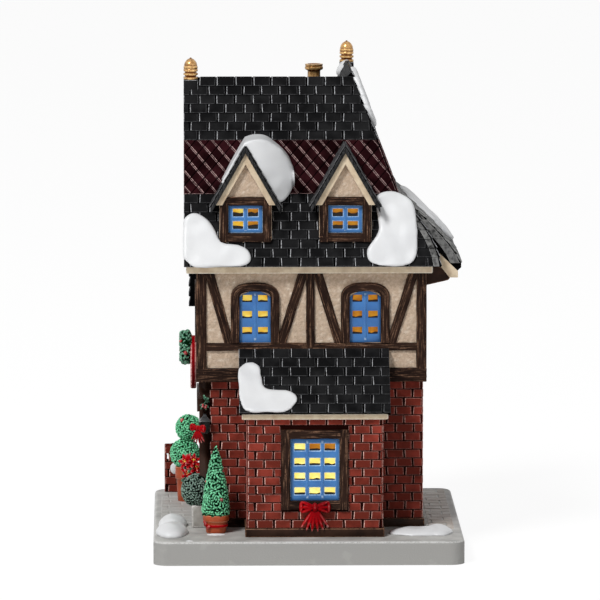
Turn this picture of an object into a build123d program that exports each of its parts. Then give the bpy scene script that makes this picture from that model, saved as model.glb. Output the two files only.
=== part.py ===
from build123d import *
import math
import os

# A lit ceramic village house: castings luted together, pierced windows with films, a battery light.
# Millimetres. The long side with the lean-to faces -Y, the shop front faces -X, +Z is up,
# and the origin lies under the middle of the base slab.

# Base slab
base_width = 128.0
base_depth = 140.0
base_height = 10.0
base_corner = 6.0
base_edge = 1.4

# House plan, on the outer faces of the upper storey: a front wing joined to a main block
front_x = -44.9
back_x = 48.0
near_y = -36.5
far_y = 57.0
wing_half = 27.2
main_front_x = -8.0
main_ridge_x = 18.5
wall = 4.0

# The ground floor stands back under the upper storey
jetty_front = 4.4
jetty_near = 3.5
jetty_back = 0.5
jetty_ledge = 11.0
jetty_floor = 3.5

# Heights
jetty_z = 71.5
eave_z = 120.2
ridge_z = 195.8
main_rise = 1.6

# Slated roofs: runs are measured from the main ridge, falls from the eaves
eave_overhang = 6.0
front_verge = 6.3
far_verge = 3.0
courses = 21
kick_course = 8
kick_run = 18.6
near_verge_run = 35.7
flare_run = 44.6
near_verge_curve = 1.6
flare_curve = 1.3
flare_set_back = 6.0
flare_length = 52.0
flare_toe = 1.8
flare_under = 3.4
flare_lip = 1.0
slate_lip = 0.7
slate_step = 0.02
roof_drop = 9.0

# Relief boards and timbers
relief = 1.2
post_width = 4.2
centre_post_x = 1.1
centre_post_width = 3.6
sill_beam = 5.8
rail_z = 84.5
rail_height = 3.3
brace_width = 3.9
brace_gap = 0.6
brace_lap = 0.8
cornice_height = 3.2
cornice_reach = 4.6
cornice_bevel = 1.4
cornice_front = 5.4
cornice_end = 3.6
cornice_gap = 0.4
board_thick = 1.6
board_depth = 4.0
board_set_back = 0.8
plinth_height = 3.6

# Boxed eave and board at the flared end
box_out = 2.0
box_face = 7.2
box_back = 9.6
box_cant = 2.6
barge_head = 4.6
barge_fall = 7.9
barge_heel = 2.6
barge_toe = 3.5

# Lean-to on the near side
lean_left_x = -25.0
lean_right_x = 30.0
lean_near_y = -58.5
lean_eave_z = 62.0
lean_top_z = 85.2
lean_courses = 7
lean_overhang = 3.2
lean_side_overhang = 3.6
lean_slab = 4.2
lean_toe = 0.6
lean_toe_rise = 0.4
lean_fascia = 2.6
lean_fascia_in = 1.0

# Dormers on the near slope, heights measured up from where the slope meets their face
dormer_from_front = 19.2
dormer_from_back = 32.5
dormer_set_back = 3.9
dormer_half = 10.8
dormer_sill = 4.5
dormer_rise = 40.9
dormer_reach = 14.2
dormer_fall = 24.8
dormer_courses = 7
dormer_overhang = 3.2
dormer_slab = 2.9
dormer_board_depth = 2.3
dormer_wall = 2.2
dormer_cavity_half = 7.6
dormer_cavity_gap = 0.6
dormer_tail = 1.0

# Pierced windows: panel size, arch rise, panes across and up, pane size and spacing, surround width
panel_thick = 1.6
panel_recess = 0.4
panel_gap = 0.1
film_thick = 0.5
surround_proud = 1.7
house_window = dict(width=13.0, height=21.6, rise=2.6, across=2, up=3, pane=(4.0, 3.0),
                    spacing=(6.5, 6.7), first=5.0, surround=3.7)
lean_window = dict(width=20.6, height=26.0, rise=0.0, across=3, up=4, pane=(4.4, 3.0),
                   spacing=(6.2, 6.1), first=4.0, surround=3.7)
dormer_window = dict(width=14.4, height=11.8, rise=0.0, across=2, up=2, pane=(4.2, 3.2),
                     spacing=(6.2, 5.2), first=3.4, surround=3.5)
shop_window = dict(width=22.0, height=26.0, rise=0.0, across=4, up=4, pane=(3.8, 4.4),
                   spacing=(5.2, 6.1), first=4.0, surround=3.0)

# Window places, measured in from the corners or up from the base
near_window_from_front = 23.1
near_window_from_back = 24.2
front_window_in = 10.5
ground_sill = 20.0
lean_sill = 15.0
shop_sill = 17.0
shop_window_in = 19.5

# Chimney and finials
chimney_x = 3.6
chimney_back = 22.3
chimney_width = 12.0
chimney_depth = 9.0
chimney_drop = 2.8
chimney_foot = 10.0
chimney_cap = 1.6
chimney_cap_height = 2.6
pot_radius = 3.0
pot_rim = 3.8
pot_wall = 1.0
pot_foot = 0.5
pot_foot_height = 1.2
pot_rim_height = 2.0
pot_height = 6.4
finial_radius = 3.0
finial_height = 9.6
finial_seat = 1.0
finial_block_height = 4.6
finial_rings = [(1.0, 0.0), (1.0, 0.12), (0.75, 0.16), (0.75, 0.22), (1.0, 0.26), (1.0, 0.36), (0.8, 0.40)]
finial_cup = 0.46
finial_nut = (0.86, 0.72)

# Shop front
shop_depth = 4.4
shop_head_drop = 7.5
shop_head_board = 5.4
shop_head_proud = 1.0
shop_end_gap = 0.8
corbel_width = 4.0
corbel_toe = 1.2
corbel_belly = 0.2
door_width = 12.4
door_height = 38.0
door_post = 1.6
door_thick = 2.2
door_rail = 4.0
door_stile = 2.0
door_lock_z = 16.5
door_lock_rail = 3.0
door_panel_sink = 0.7
knob_radius = 0.6
knob_reach = 1.2
skirt_courses = 4
skirt_depth = 4.0
skirt_lip = 0.8
skirt_lap = 9.0
skirt_gap = 0.5
sign_half_width = 8.0
sign_half_height = 11.2
sign_thick = 2.5
sign_rise = 4.7
wreath_radius = 5.0
wreath_tube = 2.0
wreath_rise = 11.0
lantern_out = 2.6
lantern_drop = 14.0
lantern_foot = 2.6
lantern_width = 4.2
lantern_height = 5.0
lantern_roof = 5.0
lantern_roof_height = 2.2
lantern_tip = 1.4
lantern_rod = 1.2
lantern_bow_size = 3.6
lantern_bow_thick = 1.2
bow_knot = 0.2
bow_turn = 24
bow_loop = dict(out=0.46, up=0.16, half_width=0.44, half_height=0.27)
bow_hole = dict(out=0.5, up=0.18, half_width=0.2, half_height=0.09)
bow_tail = [(0.0, 0.1), (0.86, -1.6), (0.5, -1.5), (0.26, -1.72)]
window_bow_seat = 0.6
window_bow_size = 6.2
window_bow_thick = 1.8

# Yard
planter_out = 7.7
planter_near = 2.0
planter_length = 12.0
planter_height = 9.5
box_ball_radius = 6.6
box_ball_in = 2.6
box_ball_back = 4.4
box_ball_sink = 1.0
cone_from_lean = 13.2
cone_from_wall = 13.5
cone_radius = 5.4
cone_height = 29.0
cone_pot_height = 7.6
cone_pot_radius = 5.4
cone_foot = 0.92
cone_skirt = 0.06
cone_flank = (0.62, 0.55)
tub_foot = 0.74
tub_neck = 0.9
tub_rim = 0.66
topiary_from_front = 10.4
topiary_lean = 1.5
topiary_from_wing = 18.1
topiary_pot_height = 15.0
topiary_pot_radius = 4.2
topiary_low_radius = 6.0
topiary_high_radius = 5.2
topiary_sink = 0.4
topiary_stem = 0.9
pier_from_side = 4.6
pier_from_far = 10.0
pier_width = 8.0
pier_depth = 9.0
pier_height = 20.0
pier_shoulder = 10.4
pier_step = 2.6
box_depth = 5.6
box_length = 19.0
box_height = 5.0
box_drop = 1.4
bank_height = 7.4
bank_margin = 0.6
flowers = 3
flower_radius = 3.8
flower_petals = 6
flower_lift = 6.6
flower_eye = 1.0
flower_twist = 20
flower_tip = 37
petal_half = 1.0
flower_thick = 1.0
drift_in = 1.0
drift_clear = 1.8
drift_near = 8.0
drift_length = 27.0
drift_step = 20.0
drift_height = 4.4
low_drift_in = 4.4
low_drift_back = 4.0
low_drift_depth = 16.0
low_drift_length = 22.0
low_drift_height = 2.4
snow_depth = 2.4
snow_seat = 0.02

# Light unit under the main block
cell_radius = 5.25
cell_length = 44.5
cell_button = 1.0
cell_button_radius = 1.9
cell_pitch = 11.0
cell_gap = 0.2
cell_slack = 0.8
cell_lift = 0.25
cells = 3
tray_wall = 2.0
tray_bay = 9.0
tray_side_gap = 0.25
tray_headroom = 1.2
flange = 3.2
flange_low_z = 0.8
flange_top_z = 3.0
cover_thick = 1.8
cover_side = 2.0
cover_end = 0.6
seat_gap = 0.5
move_gap = 0.3
contact_thick = 0.5
contact_width = 8.0
spring_length = 4.6
spring_tip_radius = 1.4
spring_base_radius = 2.6
spring_wire = 0.6
hinge_radius = 1.1
hinge_in = 1.6
pin_radius = 0.7
pin_gap = 0.06
pin_length = 1.2
pin_hole_end = 1.0
screw_radius = 0.9
screw_head = 1.9
screw_head_height = 0.9
screw_length = 6.0
screw_fit = 0.1
screw_gap = 0.45
screw_slot = 0.6
screw_slot_depth = 0.4
boss = 6.0
boss_shift = 0.4
grip_ribs = 4
grip_start = 12.0
grip_pitch = 3.0
grip_width = 1.2
grip_half = 6.0
grip_depth = 0.5
switch_travel = 3.0
switch_half = 7.6
switch_depth = 6.0
switch_room = 0.4
knob_length = 3.0
knob_width = 2.4
knob_sink = 0.2
foot_side = 1.0
foot_half = 2.0
foot_height = 1.1
led_back = 18.0
led_post_radius = 3.0
led_post_bore = 1.8
led_post_height = 42.0
led_foot_radius = 5.0
led_foot_height = 1.6
led_board_radius = 7.0
led_board_thick = 1.6
led_radius = 2.5
led_barrel = 2.4
led_spread = 3.2
wire_radius = 0.6
wire_spread = 0.9
reach_past = 1.0


# Shape helpers
def block(x0, x1, y0, y1, z0, z1):
    centre = Pos((x0 + x1) / 2, (y0 + y1) / 2, (z0 + z1) / 2)
    return centre * Box(x1 - x0, y1 - y0, z1 - z0)


def outline(points):
    return make_face(Polyline(*points, close=True))


def prism_x(points, x0, x1):
    """Solid with a (y, z) outline, from x0 to x1."""
    return extrude(Plane.YZ.offset(x0) * outline(points), x1 - x0, dir=(1, 0, 0))


def prism_y(points, y0, y1):
    """Solid with an (x, z) outline, from y0 to y1."""
    return extrude(Plane.XZ.offset(-y0) * outline(points), y1 - y0, dir=(0, 1, 0))


def prism_z(points, z0, z1):
    """Solid with an (x, y) outline, from z0 to z1."""
    return extrude(Plane.XY.offset(z0) * outline(points), z1 - z0, dir=(0, 0, 1))


def turned(points, x, y, z):
    """Solid of revolution about a vertical axis, from (radius, height) points."""
    profile = Plane.XZ * outline(points)
    return Pos(x, y, z) * revolve(profile, Axis.Z)


def post(radius, height):
    """Upright cylinder that stands on its own origin."""
    return Cylinder(radius, height, align=(Align.CENTER, Align.CENTER, Align.MIN))


def wedge(middle, top_z, fall, low_z):
    """Outline of a gable's hollow, from its apex down to a level."""
    run = (top_z - low_z) / fall
    return [(middle - run, low_z), (middle, top_z), (middle + run, low_z)]


def chevron(middle, top_z, fall, low_z, depth):
    """Outline of two boards that meet at an apex, with level feet."""
    run = (top_z - low_z) / fall
    drop = depth / math.cos(math.atan(fall))
    inner = run - drop / fall
    return [(middle - run, low_z), (middle, top_z), (middle + run, low_z),
            (middle + inner, low_z), (middle, top_z - drop), (middle - inner, low_z)]


nodes = {}


def keep(name, *shapes):
    """Files the solids of these shapes under one node."""
    solids = nodes.setdefault(name, [])
    for shape in shapes:
        solids.extend(shape.solids())


# Plans
def l_plan(front, back, near, wing_far, main_front, far):
    return [(front, near), (back, near), (back, far), (main_front, far),
            (main_front, wing_far), (front, wing_far)]


wing_ridge_y = near_y + wing_half
wing_far_y = wing_ridge_y + wing_half
ground_front_x = front_x + jetty_front
ground_back_x = back_x - jetty_back
ground_near_y = near_y + jetty_near
ground_wing_far_y = wing_far_y - jetty_near
ground_main_front_x = main_front_x + jetty_near
ground_far_y = far_y - jetty_near


def upper_plan(inset):
    return l_plan(front_x + inset, back_x - inset, near_y + inset,
                  wing_far_y - inset, main_front_x + inset, far_y - inset)


def ground_plan(inset):
    return l_plan(ground_front_x + inset, ground_back_x - inset, ground_near_y + inset,
                  ground_wing_far_y - inset, ground_main_front_x + inset, ground_far_y - inset)


# Wall planes, each seen from outside with its own x to the right
def near_wall(x, y):
    return Plane(origin=(x, y, 0), x_dir=(1, 0, 0), z_dir=(0, -1, 0))


def far_wall(x, y):
    return Plane(origin=(x, y, 0), x_dir=(-1, 0, 0), z_dir=(0, 1, 0))


def front_wall(x, y):
    return Plane(origin=(x, y, 0), x_dir=(0, -1, 0), z_dir=(-1, 0, 0))


def back_wall(x, y):
    return Plane(origin=(x, y, 0), x_dir=(0, 1, 0), z_dir=(1, 0, 0))


def raised(plane, z):
    """The same wall plane with its origin lifted to a sill."""
    return Plane(origin=plane.origin + Vector(0, 0, z), x_dir=plane.x_dir, z_dir=plane.z_dir)


# Slated slopes
main_ridge_z = ridge_z + main_rise
course_height = (ridge_z - eave_z) / courses
levels = [ridge_z - course_height * index for index in range(courses + 1)]
main_levels = [main_ridge_z] + levels
kick_z = eave_z + course_height * kick_course
wing_run = wing_half + eave_overhang
near_eave_y = wing_ridge_y - wing_run
wing_eave_y = wing_ridge_y + wing_run
front_verge_x = front_x - front_verge
far_verge_y = far_y + far_verge
near_verge_x = main_ridge_x + near_verge_run
flare_x = main_ridge_x + flare_run
flare_near_y = near_y + flare_set_back
flare_far_y = flare_near_y + flare_length
flare_under_z = eave_z - flare_under
slope = (ridge_z - eave_z) / wing_run
main_slope = (main_ridge_z - kick_z) / kick_run


def wing_reach(z):
    return (ridge_z - z) / slope


def near_slope_z(y):
    return ridge_z - (wing_ridge_y - y) * slope


def main_reach(z):
    return (main_ridge_z - z) / main_slope


def kicked_reach(z, eave_run, curve):
    """Run of a slope that bells outwards below the kick course and steepens to its eave."""
    if z >= kick_z:
        return main_reach(z)
    share = (kick_z - z) / (kick_z - eave_z)
    return kick_run + (eave_run - kick_run) * (1 - (1 - share) ** curve)


def flare_reach(z):
    return kicked_reach(z, flare_run, flare_curve)


def hip_reach(z):
    return kicked_reach(z, near_verge_run, near_verge_curve)


def slate_line(middle, side, reach, heights, lip=slate_lip):
    """Sawtooth edge of a slated slope, from the ridge down, with a lip under each course."""
    points = []
    for upper, lower in zip(heights[:-1], heights[1:]):
        points.append((middle + side * (reach(upper) + slate_step), upper))
        points.append((middle + side * (reach(lower) + lip), lower))
    return points


near_line = slate_line(wing_ridge_y, -1, wing_reach, levels)
wing_far_line = slate_line(wing_ridge_y, 1, wing_reach, levels)


def main_outline():
    """Main roof section with two straight slopes."""
    front_line = slate_line(main_ridge_x, -1, main_reach, main_levels)
    rear_line = slate_line(main_ridge_x, 1, main_reach, main_levels)
    return front_line + rear_line[::-1]


def flare_outline():
    """Main roof section near the wing: straight front slope, belled rear slope with a dropped toe."""
    front_line = slate_line(main_ridge_x, -1, main_reach, main_levels)
    rear_line = slate_line(main_ridge_x, 1, flare_reach, main_levels)
    toe = [(flare_x + slate_lip, eave_z - flare_toe), (flare_x - flare_lip, flare_under_z),
           (back_x, eave_z)]
    return front_line + toe[::-1] + rear_line[::-1]


def hip_outline():
    """What the near slope keeps: all from the front verge to its own belled edge."""
    rear_line = slate_line(main_ridge_x, 1, hip_reach, main_levels)
    front_line = [(front_verge_x, main_ridge_z), (front_verge_x, eave_z)]
    return front_line + rear_line[::-1]


def near_limit_outline():
    """Everything behind the near slope, carried on above the wing's ridge."""
    top = main_ridge_z + reach_past
    top_y = wing_ridge_y + (top - ridge_z) / slope
    low = flare_under_z - reach_past
    return [(far_verge_y, low), (far_verge_y, top), (top_y, top)] + near_line + [(near_eave_y, low)]


def roof_outer():
    wing = prism_x(near_line + wing_far_line[::-1], front_verge_x, flare_x)
    wing = wing & prism_y(hip_outline(), near_eave_y - wall, wing_eave_y + wall)
    main = prism_y(flare_outline(), flare_near_y, flare_far_y)
    main = main + prism_y(main_outline(), flare_far_y, far_verge_y)
    main = main & prism_x(near_limit_outline(), front_verge_x, flare_x + wall)
    return wing + main


# The hollow under the roof, which stops at the inner faces of the walls
wing_hollow_top = ridge_z - roof_drop
main_hollow_top = main_ridge_z - roof_drop


def wing_hollow(x0, x1, low_z):
    hollow = prism_x(wedge(wing_ridge_y, wing_hollow_top, slope, low_z), x0, x1)
    return hollow & block(x0, x1, near_y + wall, wing_far_y - wall, low_z, ridge_z)


def main_hollow(y0, y1, low_z):
    hollow = prism_y(wedge(main_ridge_x, main_hollow_top, main_slope, low_z), y0, y1)
    return hollow & block(main_front_x + wall, back_x - wall, y0, y1, low_z, main_ridge_z)


def roof_hollow():
    low_z = eave_z - reach_past
    wing = wing_hollow(front_verge_x - reach_past, main_ridge_x, low_z)
    main = main_hollow(near_y + wall, far_verge_y + reach_past, low_z)
    foot_y = wing_ridge_y - (wing_hollow_top - low_z) / slope
    head_y = wing_ridge_y + (main_ridge_z - wing_hollow_top) / slope
    far_end = far_verge_y + 2 * reach_past
    behind = [(foot_y, low_z), (head_y, main_ridge_z), (far_end, main_ridge_z), (far_end, low_z)]
    return wing + (main & prism_x(behind, main_front_x, back_x))


# Windows
def window_outline(kind, grow=0.0):
    half = kind["width"] / 2 + grow
    top = kind["height"] - kind["rise"]
    crown = kind["height"] + grow
    if kind["rise"] == 0:
        return outline([(-half, -grow), (half, -grow), (half, crown), (-half, crown)])
    sides = Polyline((-half, top), (-half, -grow), (half, -grow), (half, top))
    arch = ThreePointArc((half, top), (0, crown), (-half, top))
    return make_face(sides + arch)


def window_hole(place, kind, depth=wall):
    start = place * Pos(0, 0, -depth - reach_past)
    return extrude(start * window_outline(kind), depth + 2 * reach_past, dir=place.z_dir)


def window_panel(place, kind):
    face = window_outline(kind, -panel_gap)
    for column in range(kind["across"]):
        for row in range(kind["up"]):
            x = (column - (kind["across"] - 1) / 2) * kind["spacing"][0]
            y = kind["first"] + row * kind["spacing"][1]
            face -= Pos(x, y) * Rectangle(*kind["pane"])
    back = place * Pos(0, 0, -panel_recess - panel_thick)
    return extrude(back * face, panel_thick, dir=place.z_dir)


def window_film(place, kind):
    back = place * Pos(0, 0, -panel_recess - panel_thick - film_thick)
    return extrude(back * window_outline(kind, -panel_gap), film_thick, dir=place.z_dir)


def window_surround(place, kind, proud=surround_proud):
    """Frame on the wall's face; over a rail it has no bottom member."""
    ring = window_outline(kind, kind["surround"]) - window_outline(kind)
    if kind["rise"] > 0:
        sill = Pos(0, -kind["surround"] / 2) * Rectangle(kind["width"] * 2, kind["surround"])
        ring = ring - sill
    return extrude(place * ring, proud, dir=place.z_dir)


# Window places
shop_face_x = ground_front_x - shop_depth
shop_end_y = ground_wing_far_y - shop_end_gap
shop_window_y = ground_near_y + shop_window_in
shop_head_z = jetty_z - shop_head_drop
lean_middle_x = (lean_left_x + lean_right_x) / 2
block_middle_x = (main_front_x + back_x) / 2
house_middle_y = (near_y + far_y) / 2
court_middle_y = (wing_far_y + far_y) / 2
near_window_xs = [front_x + near_window_from_front, back_x - near_window_from_back]
front_window_ys = [near_y + front_window_in, wing_far_y - front_window_in]
back_window_ys = [(near_y + house_middle_y) / 2, (house_middle_y + far_y) / 2]
dormer_xs = [front_x + dormer_from_front, back_x - dormer_from_back]
dormer_face_y = near_eave_y + dormer_set_back
dormer_base_z = near_slope_z(dormer_face_y)
dormer_apex = dormer_base_z + dormer_rise
dormer_sill_z = dormer_base_z + dormer_sill

near_upper = [near_wall(x, near_y) for x in near_window_xs]
front_upper = [front_wall(front_x, y) for y in front_window_ys]
court_upper = [front_wall(main_front_x, court_middle_y)]
far_upper = [far_wall(block_middle_x, far_y)]
back_upper = [back_wall(back_x, y) for y in back_window_ys]
ground_rear = [back_wall(ground_back_x, house_middle_y), far_wall(block_middle_x, ground_far_y)]

window_sill_z = rail_z + rail_height
upper_places = [raised(plane, window_sill_z)
                for plane in near_upper + front_upper + court_upper + far_upper + back_upper]
ground_places = [raised(plane, base_height + ground_sill) for plane in ground_rear]
shop_place = raised(front_wall(shop_face_x, shop_window_y), base_height + shop_sill)
lean_place = raised(near_wall(lean_middle_x, lean_near_y), base_height + lean_sill)
dormer_places = [raised(near_wall(x, dormer_face_y), dormer_sill_z) for x in dormer_xs]


# Base
def base_slab():
    slab = extrude(RectangleRounded(base_width, base_depth, base_corner), base_height)
    slab = fillet(slab.faces().sort_by(Axis.Z)[-1].edges(), base_edge)
    opening = block(tray_left - seat_gap, tray_right + seat_gap, tray_near_y - seat_gap,
                    tray_far_y + seat_gap, -reach_past, base_height + reach_past)
    rim = flange + seat_gap
    rebate = block(tray_left - rim, tray_right + rim, tray_near_y - rim, tray_far_y + rim,
                   -reach_past, flange_top_z)
    return slab - opening - rebate


# Walls
def ground_floor_walls():
    shell = prism_z(ground_plan(0), base_height, jetty_z)
    shell -= prism_z(ground_plan(wall), 0, jetty_z + reach_past)
    for place in ground_places:
        shell -= window_hole(place, house_window)
    shop_through = raised(front_wall(ground_front_x, shop_window_y), base_height + shop_sill)
    return shell - window_hole(shop_through, shop_window)


def upper_storey_walls():
    floor_z = jetty_z + jetty_floor
    shell = prism_z(upper_plan(0), jetty_z, eave_z)
    shell -= prism_z(upper_plan(wall), floor_z, eave_z + reach_past)
    shell -= prism_z(upper_plan(jetty_ledge), jetty_z - reach_past, floor_z + reach_past)
    for place in upper_places:
        shell -= window_hole(place, house_window)
    return shell


# Timber relief, drawn on each wall between its left and right ends
timber_top = eave_z - cornice_height


def bar(x0, x1, z0, z1):
    return Pos((x0 + x1) / 2, (z0 + z1) / 2) * Rectangle(x1 - x0, z1 - z0)


def brace(top_x, foot_x):
    half = brace_width / 2
    return outline([(top_x - half, timber_top), (top_x + half, timber_top),
                    (foot_x + half, window_sill_z), (foot_x - half, window_sill_z)])


def window_bay(x):
    """Middle of a bay and how far from it the braces stand, beside a window's surround."""
    return x, house_window["width"] / 2 + house_window["surround"] + brace_gap


def blank_bay(x):
    return x, brace_width / 2


def timber_sheet(left, right, posts, bays):
    """Sill beam, rail, posts, and two braces in each bay."""
    sheet = bar(left, right, jetty_z, jetty_z + sill_beam)
    sheet += bar(left, right, rail_z, window_sill_z)
    edges = [left, left + post_width]
    for x in posts:
        edges += [x - centre_post_width / 2, x + centre_post_width / 2]
    edges += [right - post_width, right]
    for post_left, post_right in zip(edges[0::2], edges[1::2]):
        sheet += bar(post_left, post_right, jetty_z, timber_top)
    for bay_left, bay_right, bay in zip(edges[1::2], edges[2::2], bays):
        middle, half = bay
        head = brace_width / 2 - brace_lap
        sheet += brace(bay_left + head, middle - half)
        sheet += brace(bay_right - head, middle + half)
    return sheet


def wall_timbers(plane, sheet, window_planes):
    strips = extrude(plane * sheet, relief, dir=plane.z_dir)
    for window_plane in window_planes:
        place = raised(window_plane, window_sill_z)
        strips += window_surround(place, house_window)
        strips -= window_hole(place, house_window)
    return strips


def near_timbers():
    bays = [window_bay(x) for x in near_window_xs]
    sheet = timber_sheet(front_x - relief, back_x + relief, [centre_post_x], bays)
    return wall_timbers(near_wall(0, near_y), sheet, near_upper)


def front_timbers():
    sheet = timber_sheet(-wing_far_y - relief, -near_y, [], [])
    return wall_timbers(front_wall(front_x, 0), sheet, front_upper)


def court_timbers():
    wing_bay_x = -(front_x + main_front_x) / 2
    side_sheet = timber_sheet(-main_front_x + relief, -front_x, [], [blank_bay(wing_bay_x)])
    side = wall_timbers(far_wall(0, wing_far_y), side_sheet, [])
    front_sheet = timber_sheet(-far_y - relief, -wing_far_y, [], [window_bay(-court_middle_y)])
    front = wall_timbers(front_wall(main_front_x, 0), front_sheet, court_upper)
    return side, front


def far_timbers():
    sheet = timber_sheet(-back_x - relief, -main_front_x, [], [window_bay(-block_middle_x)])
    return wall_timbers(far_wall(0, far_y), sheet, far_upper)


def back_timbers():
    bays = [window_bay(y) for y in back_window_ys]
    sheet = timber_sheet(near_y, far_y, [house_middle_y], bays)
    return wall_timbers(back_wall(back_x, 0), sheet, back_upper) - rear_eave_box()


# Eaves
def cornice_outline():
    """Cornice section measured out from the wall."""
    return [(0, eave_z), (0, timber_top), (cornice_reach - cornice_bevel, timber_top),
            (cornice_reach, eave_z)]


def eave_cornices():
    near_points = [(near_y - out, z) for out, z in cornice_outline()]
    near = prism_x(near_points, front_x - cornice_front, back_x + cornice_end)
    wing_points = [(wing_far_y + out, z) for out, z in cornice_outline()]
    wing = prism_x(wing_points, front_x - cornice_front, main_front_x - relief)
    main_points = [(main_front_x - out, z) for out, z in cornice_outline()]
    main = prism_y(main_points, wing_far_y + cornice_reach + cornice_gap, far_y + relief)
    return near, wing, main


def rear_eave_box():
    """Boxed underside of the flared rear eave."""
    under_slope = flare_under / (flare_x - flare_lip - back_x)
    out_x = flare_x - box_out
    points = [(back_x, eave_z), (out_x, eave_z - under_slope * (out_x - back_x)),
              (out_x - box_cant, eave_z - box_face), (back_x, eave_z - box_back)]
    return prism_y(points, flare_near_y, flare_far_y)


def rear_bargeboard():
    """Cream board on the flare's near end, under the slates."""
    head_z = eave_z + barge_head
    foot_z = head_z - barge_fall
    foot_x = flare_x - slate_lip
    points = [(near_verge_x, head_z), (foot_x, foot_z), (foot_x, foot_z - barge_heel),
              (foot_x - barge_toe, foot_z - barge_heel), (near_verge_x, head_z - barge_head)]
    return prism_y(points, flare_near_y - board_thick, flare_near_y)


def gable_bargeboards():
    low_z = eave_z + board_depth
    front_points = chevron(wing_ridge_y, wing_hollow_top, slope, low_z, board_depth)
    front_start = front_verge_x + board_set_back
    front = prism_x(front_points, front_start, front_start + board_thick)
    far_points = chevron(main_ridge_x, main_hollow_top, main_slope, low_z, board_depth)
    far_end = far_verge_y - board_set_back
    far = prism_y(far_points, far_end - board_thick, far_end)
    return front & wing_hollow(front_verge_x, front_x, eave_z), far & main_hollow(far_y, far_verge_y, eave_z)


def plinth_boards():
    top_z = base_height + plinth_height
    house = prism_z(ground_plan(-relief), base_height, top_z)
    house -= prism_z(ground_plan(0), 0, jetty_z)
    house -= block(lean_left_x, lean_right_x, lean_near_y, ground_near_y, 0, jetty_z)
    house -= block(shop_face_x, ground_front_x, lean_near_y, shop_end_y, 0, jetty_z)
    bay = block(lean_left_x - relief, lean_right_x + relief, lean_near_y - relief,
                ground_near_y - relief, base_height, top_z)
    bay -= block(lean_left_x, lean_right_x, lean_near_y, ground_near_y, 0, jetty_z)
    return house, bay


# Lean-to
lean_back_y = near_y - relief
lean_eave_y = lean_near_y - lean_overhang
lean_slope = (lean_top_z - lean_eave_z) / (lean_back_y - lean_eave_y)
lean_course = (lean_top_z - lean_eave_z) / lean_courses
lean_levels = [lean_top_z - lean_course * index for index in range(lean_courses + 1)]
lean_under_z = lean_eave_z - lean_slab + lean_slope * lean_overhang
lean_roof_left = lean_left_x - lean_side_overhang
lean_roof_right = lean_right_x + lean_side_overhang


def lean_reach(z):
    return (lean_top_z - z) / lean_slope


def lean_to_roof():
    line = slate_line(lean_back_y, -1, lean_reach, lean_levels)
    under = [(lean_eave_y + lean_toe, lean_eave_z - lean_toe_rise), (lean_near_y, lean_under_z),
             (lean_back_y, lean_top_z - lean_slab)]
    return prism_x(line + under, lean_roof_left, lean_roof_right)


def lean_side_outline(inset, rise):
    """Side of the lean-to, tucked under the jetty, up to the underside of its roof."""
    face_y = lean_near_y + inset
    return [(face_y, base_height - rise), (face_y, lean_under_z + inset * lean_slope + rise),
            (lean_back_y, lean_top_z - lean_slab + rise), (lean_back_y, jetty_z),
            (ground_near_y, jetty_z), (ground_near_y, base_height - rise)]


def lean_to_walls():
    shell = prism_x(lean_side_outline(0, 0), lean_left_x, lean_right_x)
    room = prism_x(lean_side_outline(wall, reach_past), lean_left_x + wall, lean_right_x - wall)
    return shell - room - window_hole(lean_place, lean_window)


def lean_to_fascia():
    toe_y = lean_eave_y + lean_toe
    top_z = lean_eave_z - lean_toe_rise
    points = [(lean_near_y, top_z), (lean_near_y, top_z - lean_fascia),
              (toe_y + lean_toe, top_z - lean_fascia), (toe_y, top_z)]
    board = prism_x(points, lean_roof_left + lean_fascia_in, lean_roof_right - lean_fascia_in)
    return board - lean_to_roof()


# Dormers
dormer_slope = dormer_fall / dormer_reach
dormer_inner_apex = dormer_apex - dormer_slab
dormer_back_y = wing_ridge_y - wing_reach(dormer_apex) + dormer_tail
dormer_levels = [dormer_apex - course_height * index for index in range(dormer_courses + 1)]


def dormer_roof_reach(z):
    return (dormer_apex - z) / dormer_slope


def dormer_roof(x):
    low_z = dormer_levels[-1]
    left = slate_line(x, -1, dormer_roof_reach, dormer_levels, slate_lip / 2)
    right = slate_line(x, 1, dormer_roof_reach, dormer_levels, slate_lip / 2)
    inner = wedge(x, dormer_inner_apex, dormer_slope, low_z)
    points = left + inner + right[::-1]
    return prism_y(points, dormer_face_y - dormer_overhang, dormer_back_y)


def dormer_cavity(x, y0, y1):
    """Way for the light behind a dormer's window."""
    top_z = dormer_sill_z + dormer_window["height"] + dormer_cavity_gap
    return block(x - dormer_cavity_half, x + dormer_cavity_half, y0, y1,
                 dormer_sill_z - dormer_cavity_gap, top_z)


def dormer_body(x, place):
    shoulder = dormer_inner_apex - dormer_half * dormer_slope
    foot = dormer_base_z - course_height
    points = [(x - dormer_half, foot), (x - dormer_half, shoulder), (x, dormer_inner_apex),
              (x + dormer_half, shoulder), (x + dormer_half, foot)]
    body = prism_y(points, dormer_face_y, dormer_back_y)
    body -= dormer_cavity(x, dormer_face_y + dormer_wall, dormer_back_y)
    return body - window_hole(place, dormer_window, dormer_wall)


def dormer_board(x):
    low_z = dormer_levels[-1] + board_set_back
    points = chevron(x, dormer_inner_apex, dormer_slope, low_z, dormer_board_depth)
    front = dormer_face_y - dormer_overhang + board_set_back
    return prism_y(points, front, front + board_thick)


# Chimney and finials
chimney_y = wing_ridge_y + chimney_back
chimney_top_z = ridge_z - chimney_drop


def chimney_block(grow, z0, z1):
    half_x = chimney_width / 2 + grow
    half_y = chimney_depth / 2 + grow
    return block(chimney_x - half_x, chimney_x + half_x, chimney_y - half_y, chimney_y + half_y, z0, z1)


def chimney_stack():
    cap_z = chimney_top_z - chimney_cap_height
    return chimney_block(0, eave_z + chimney_foot, cap_z) + chimney_block(chimney_cap, cap_z, chimney_top_z)


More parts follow.
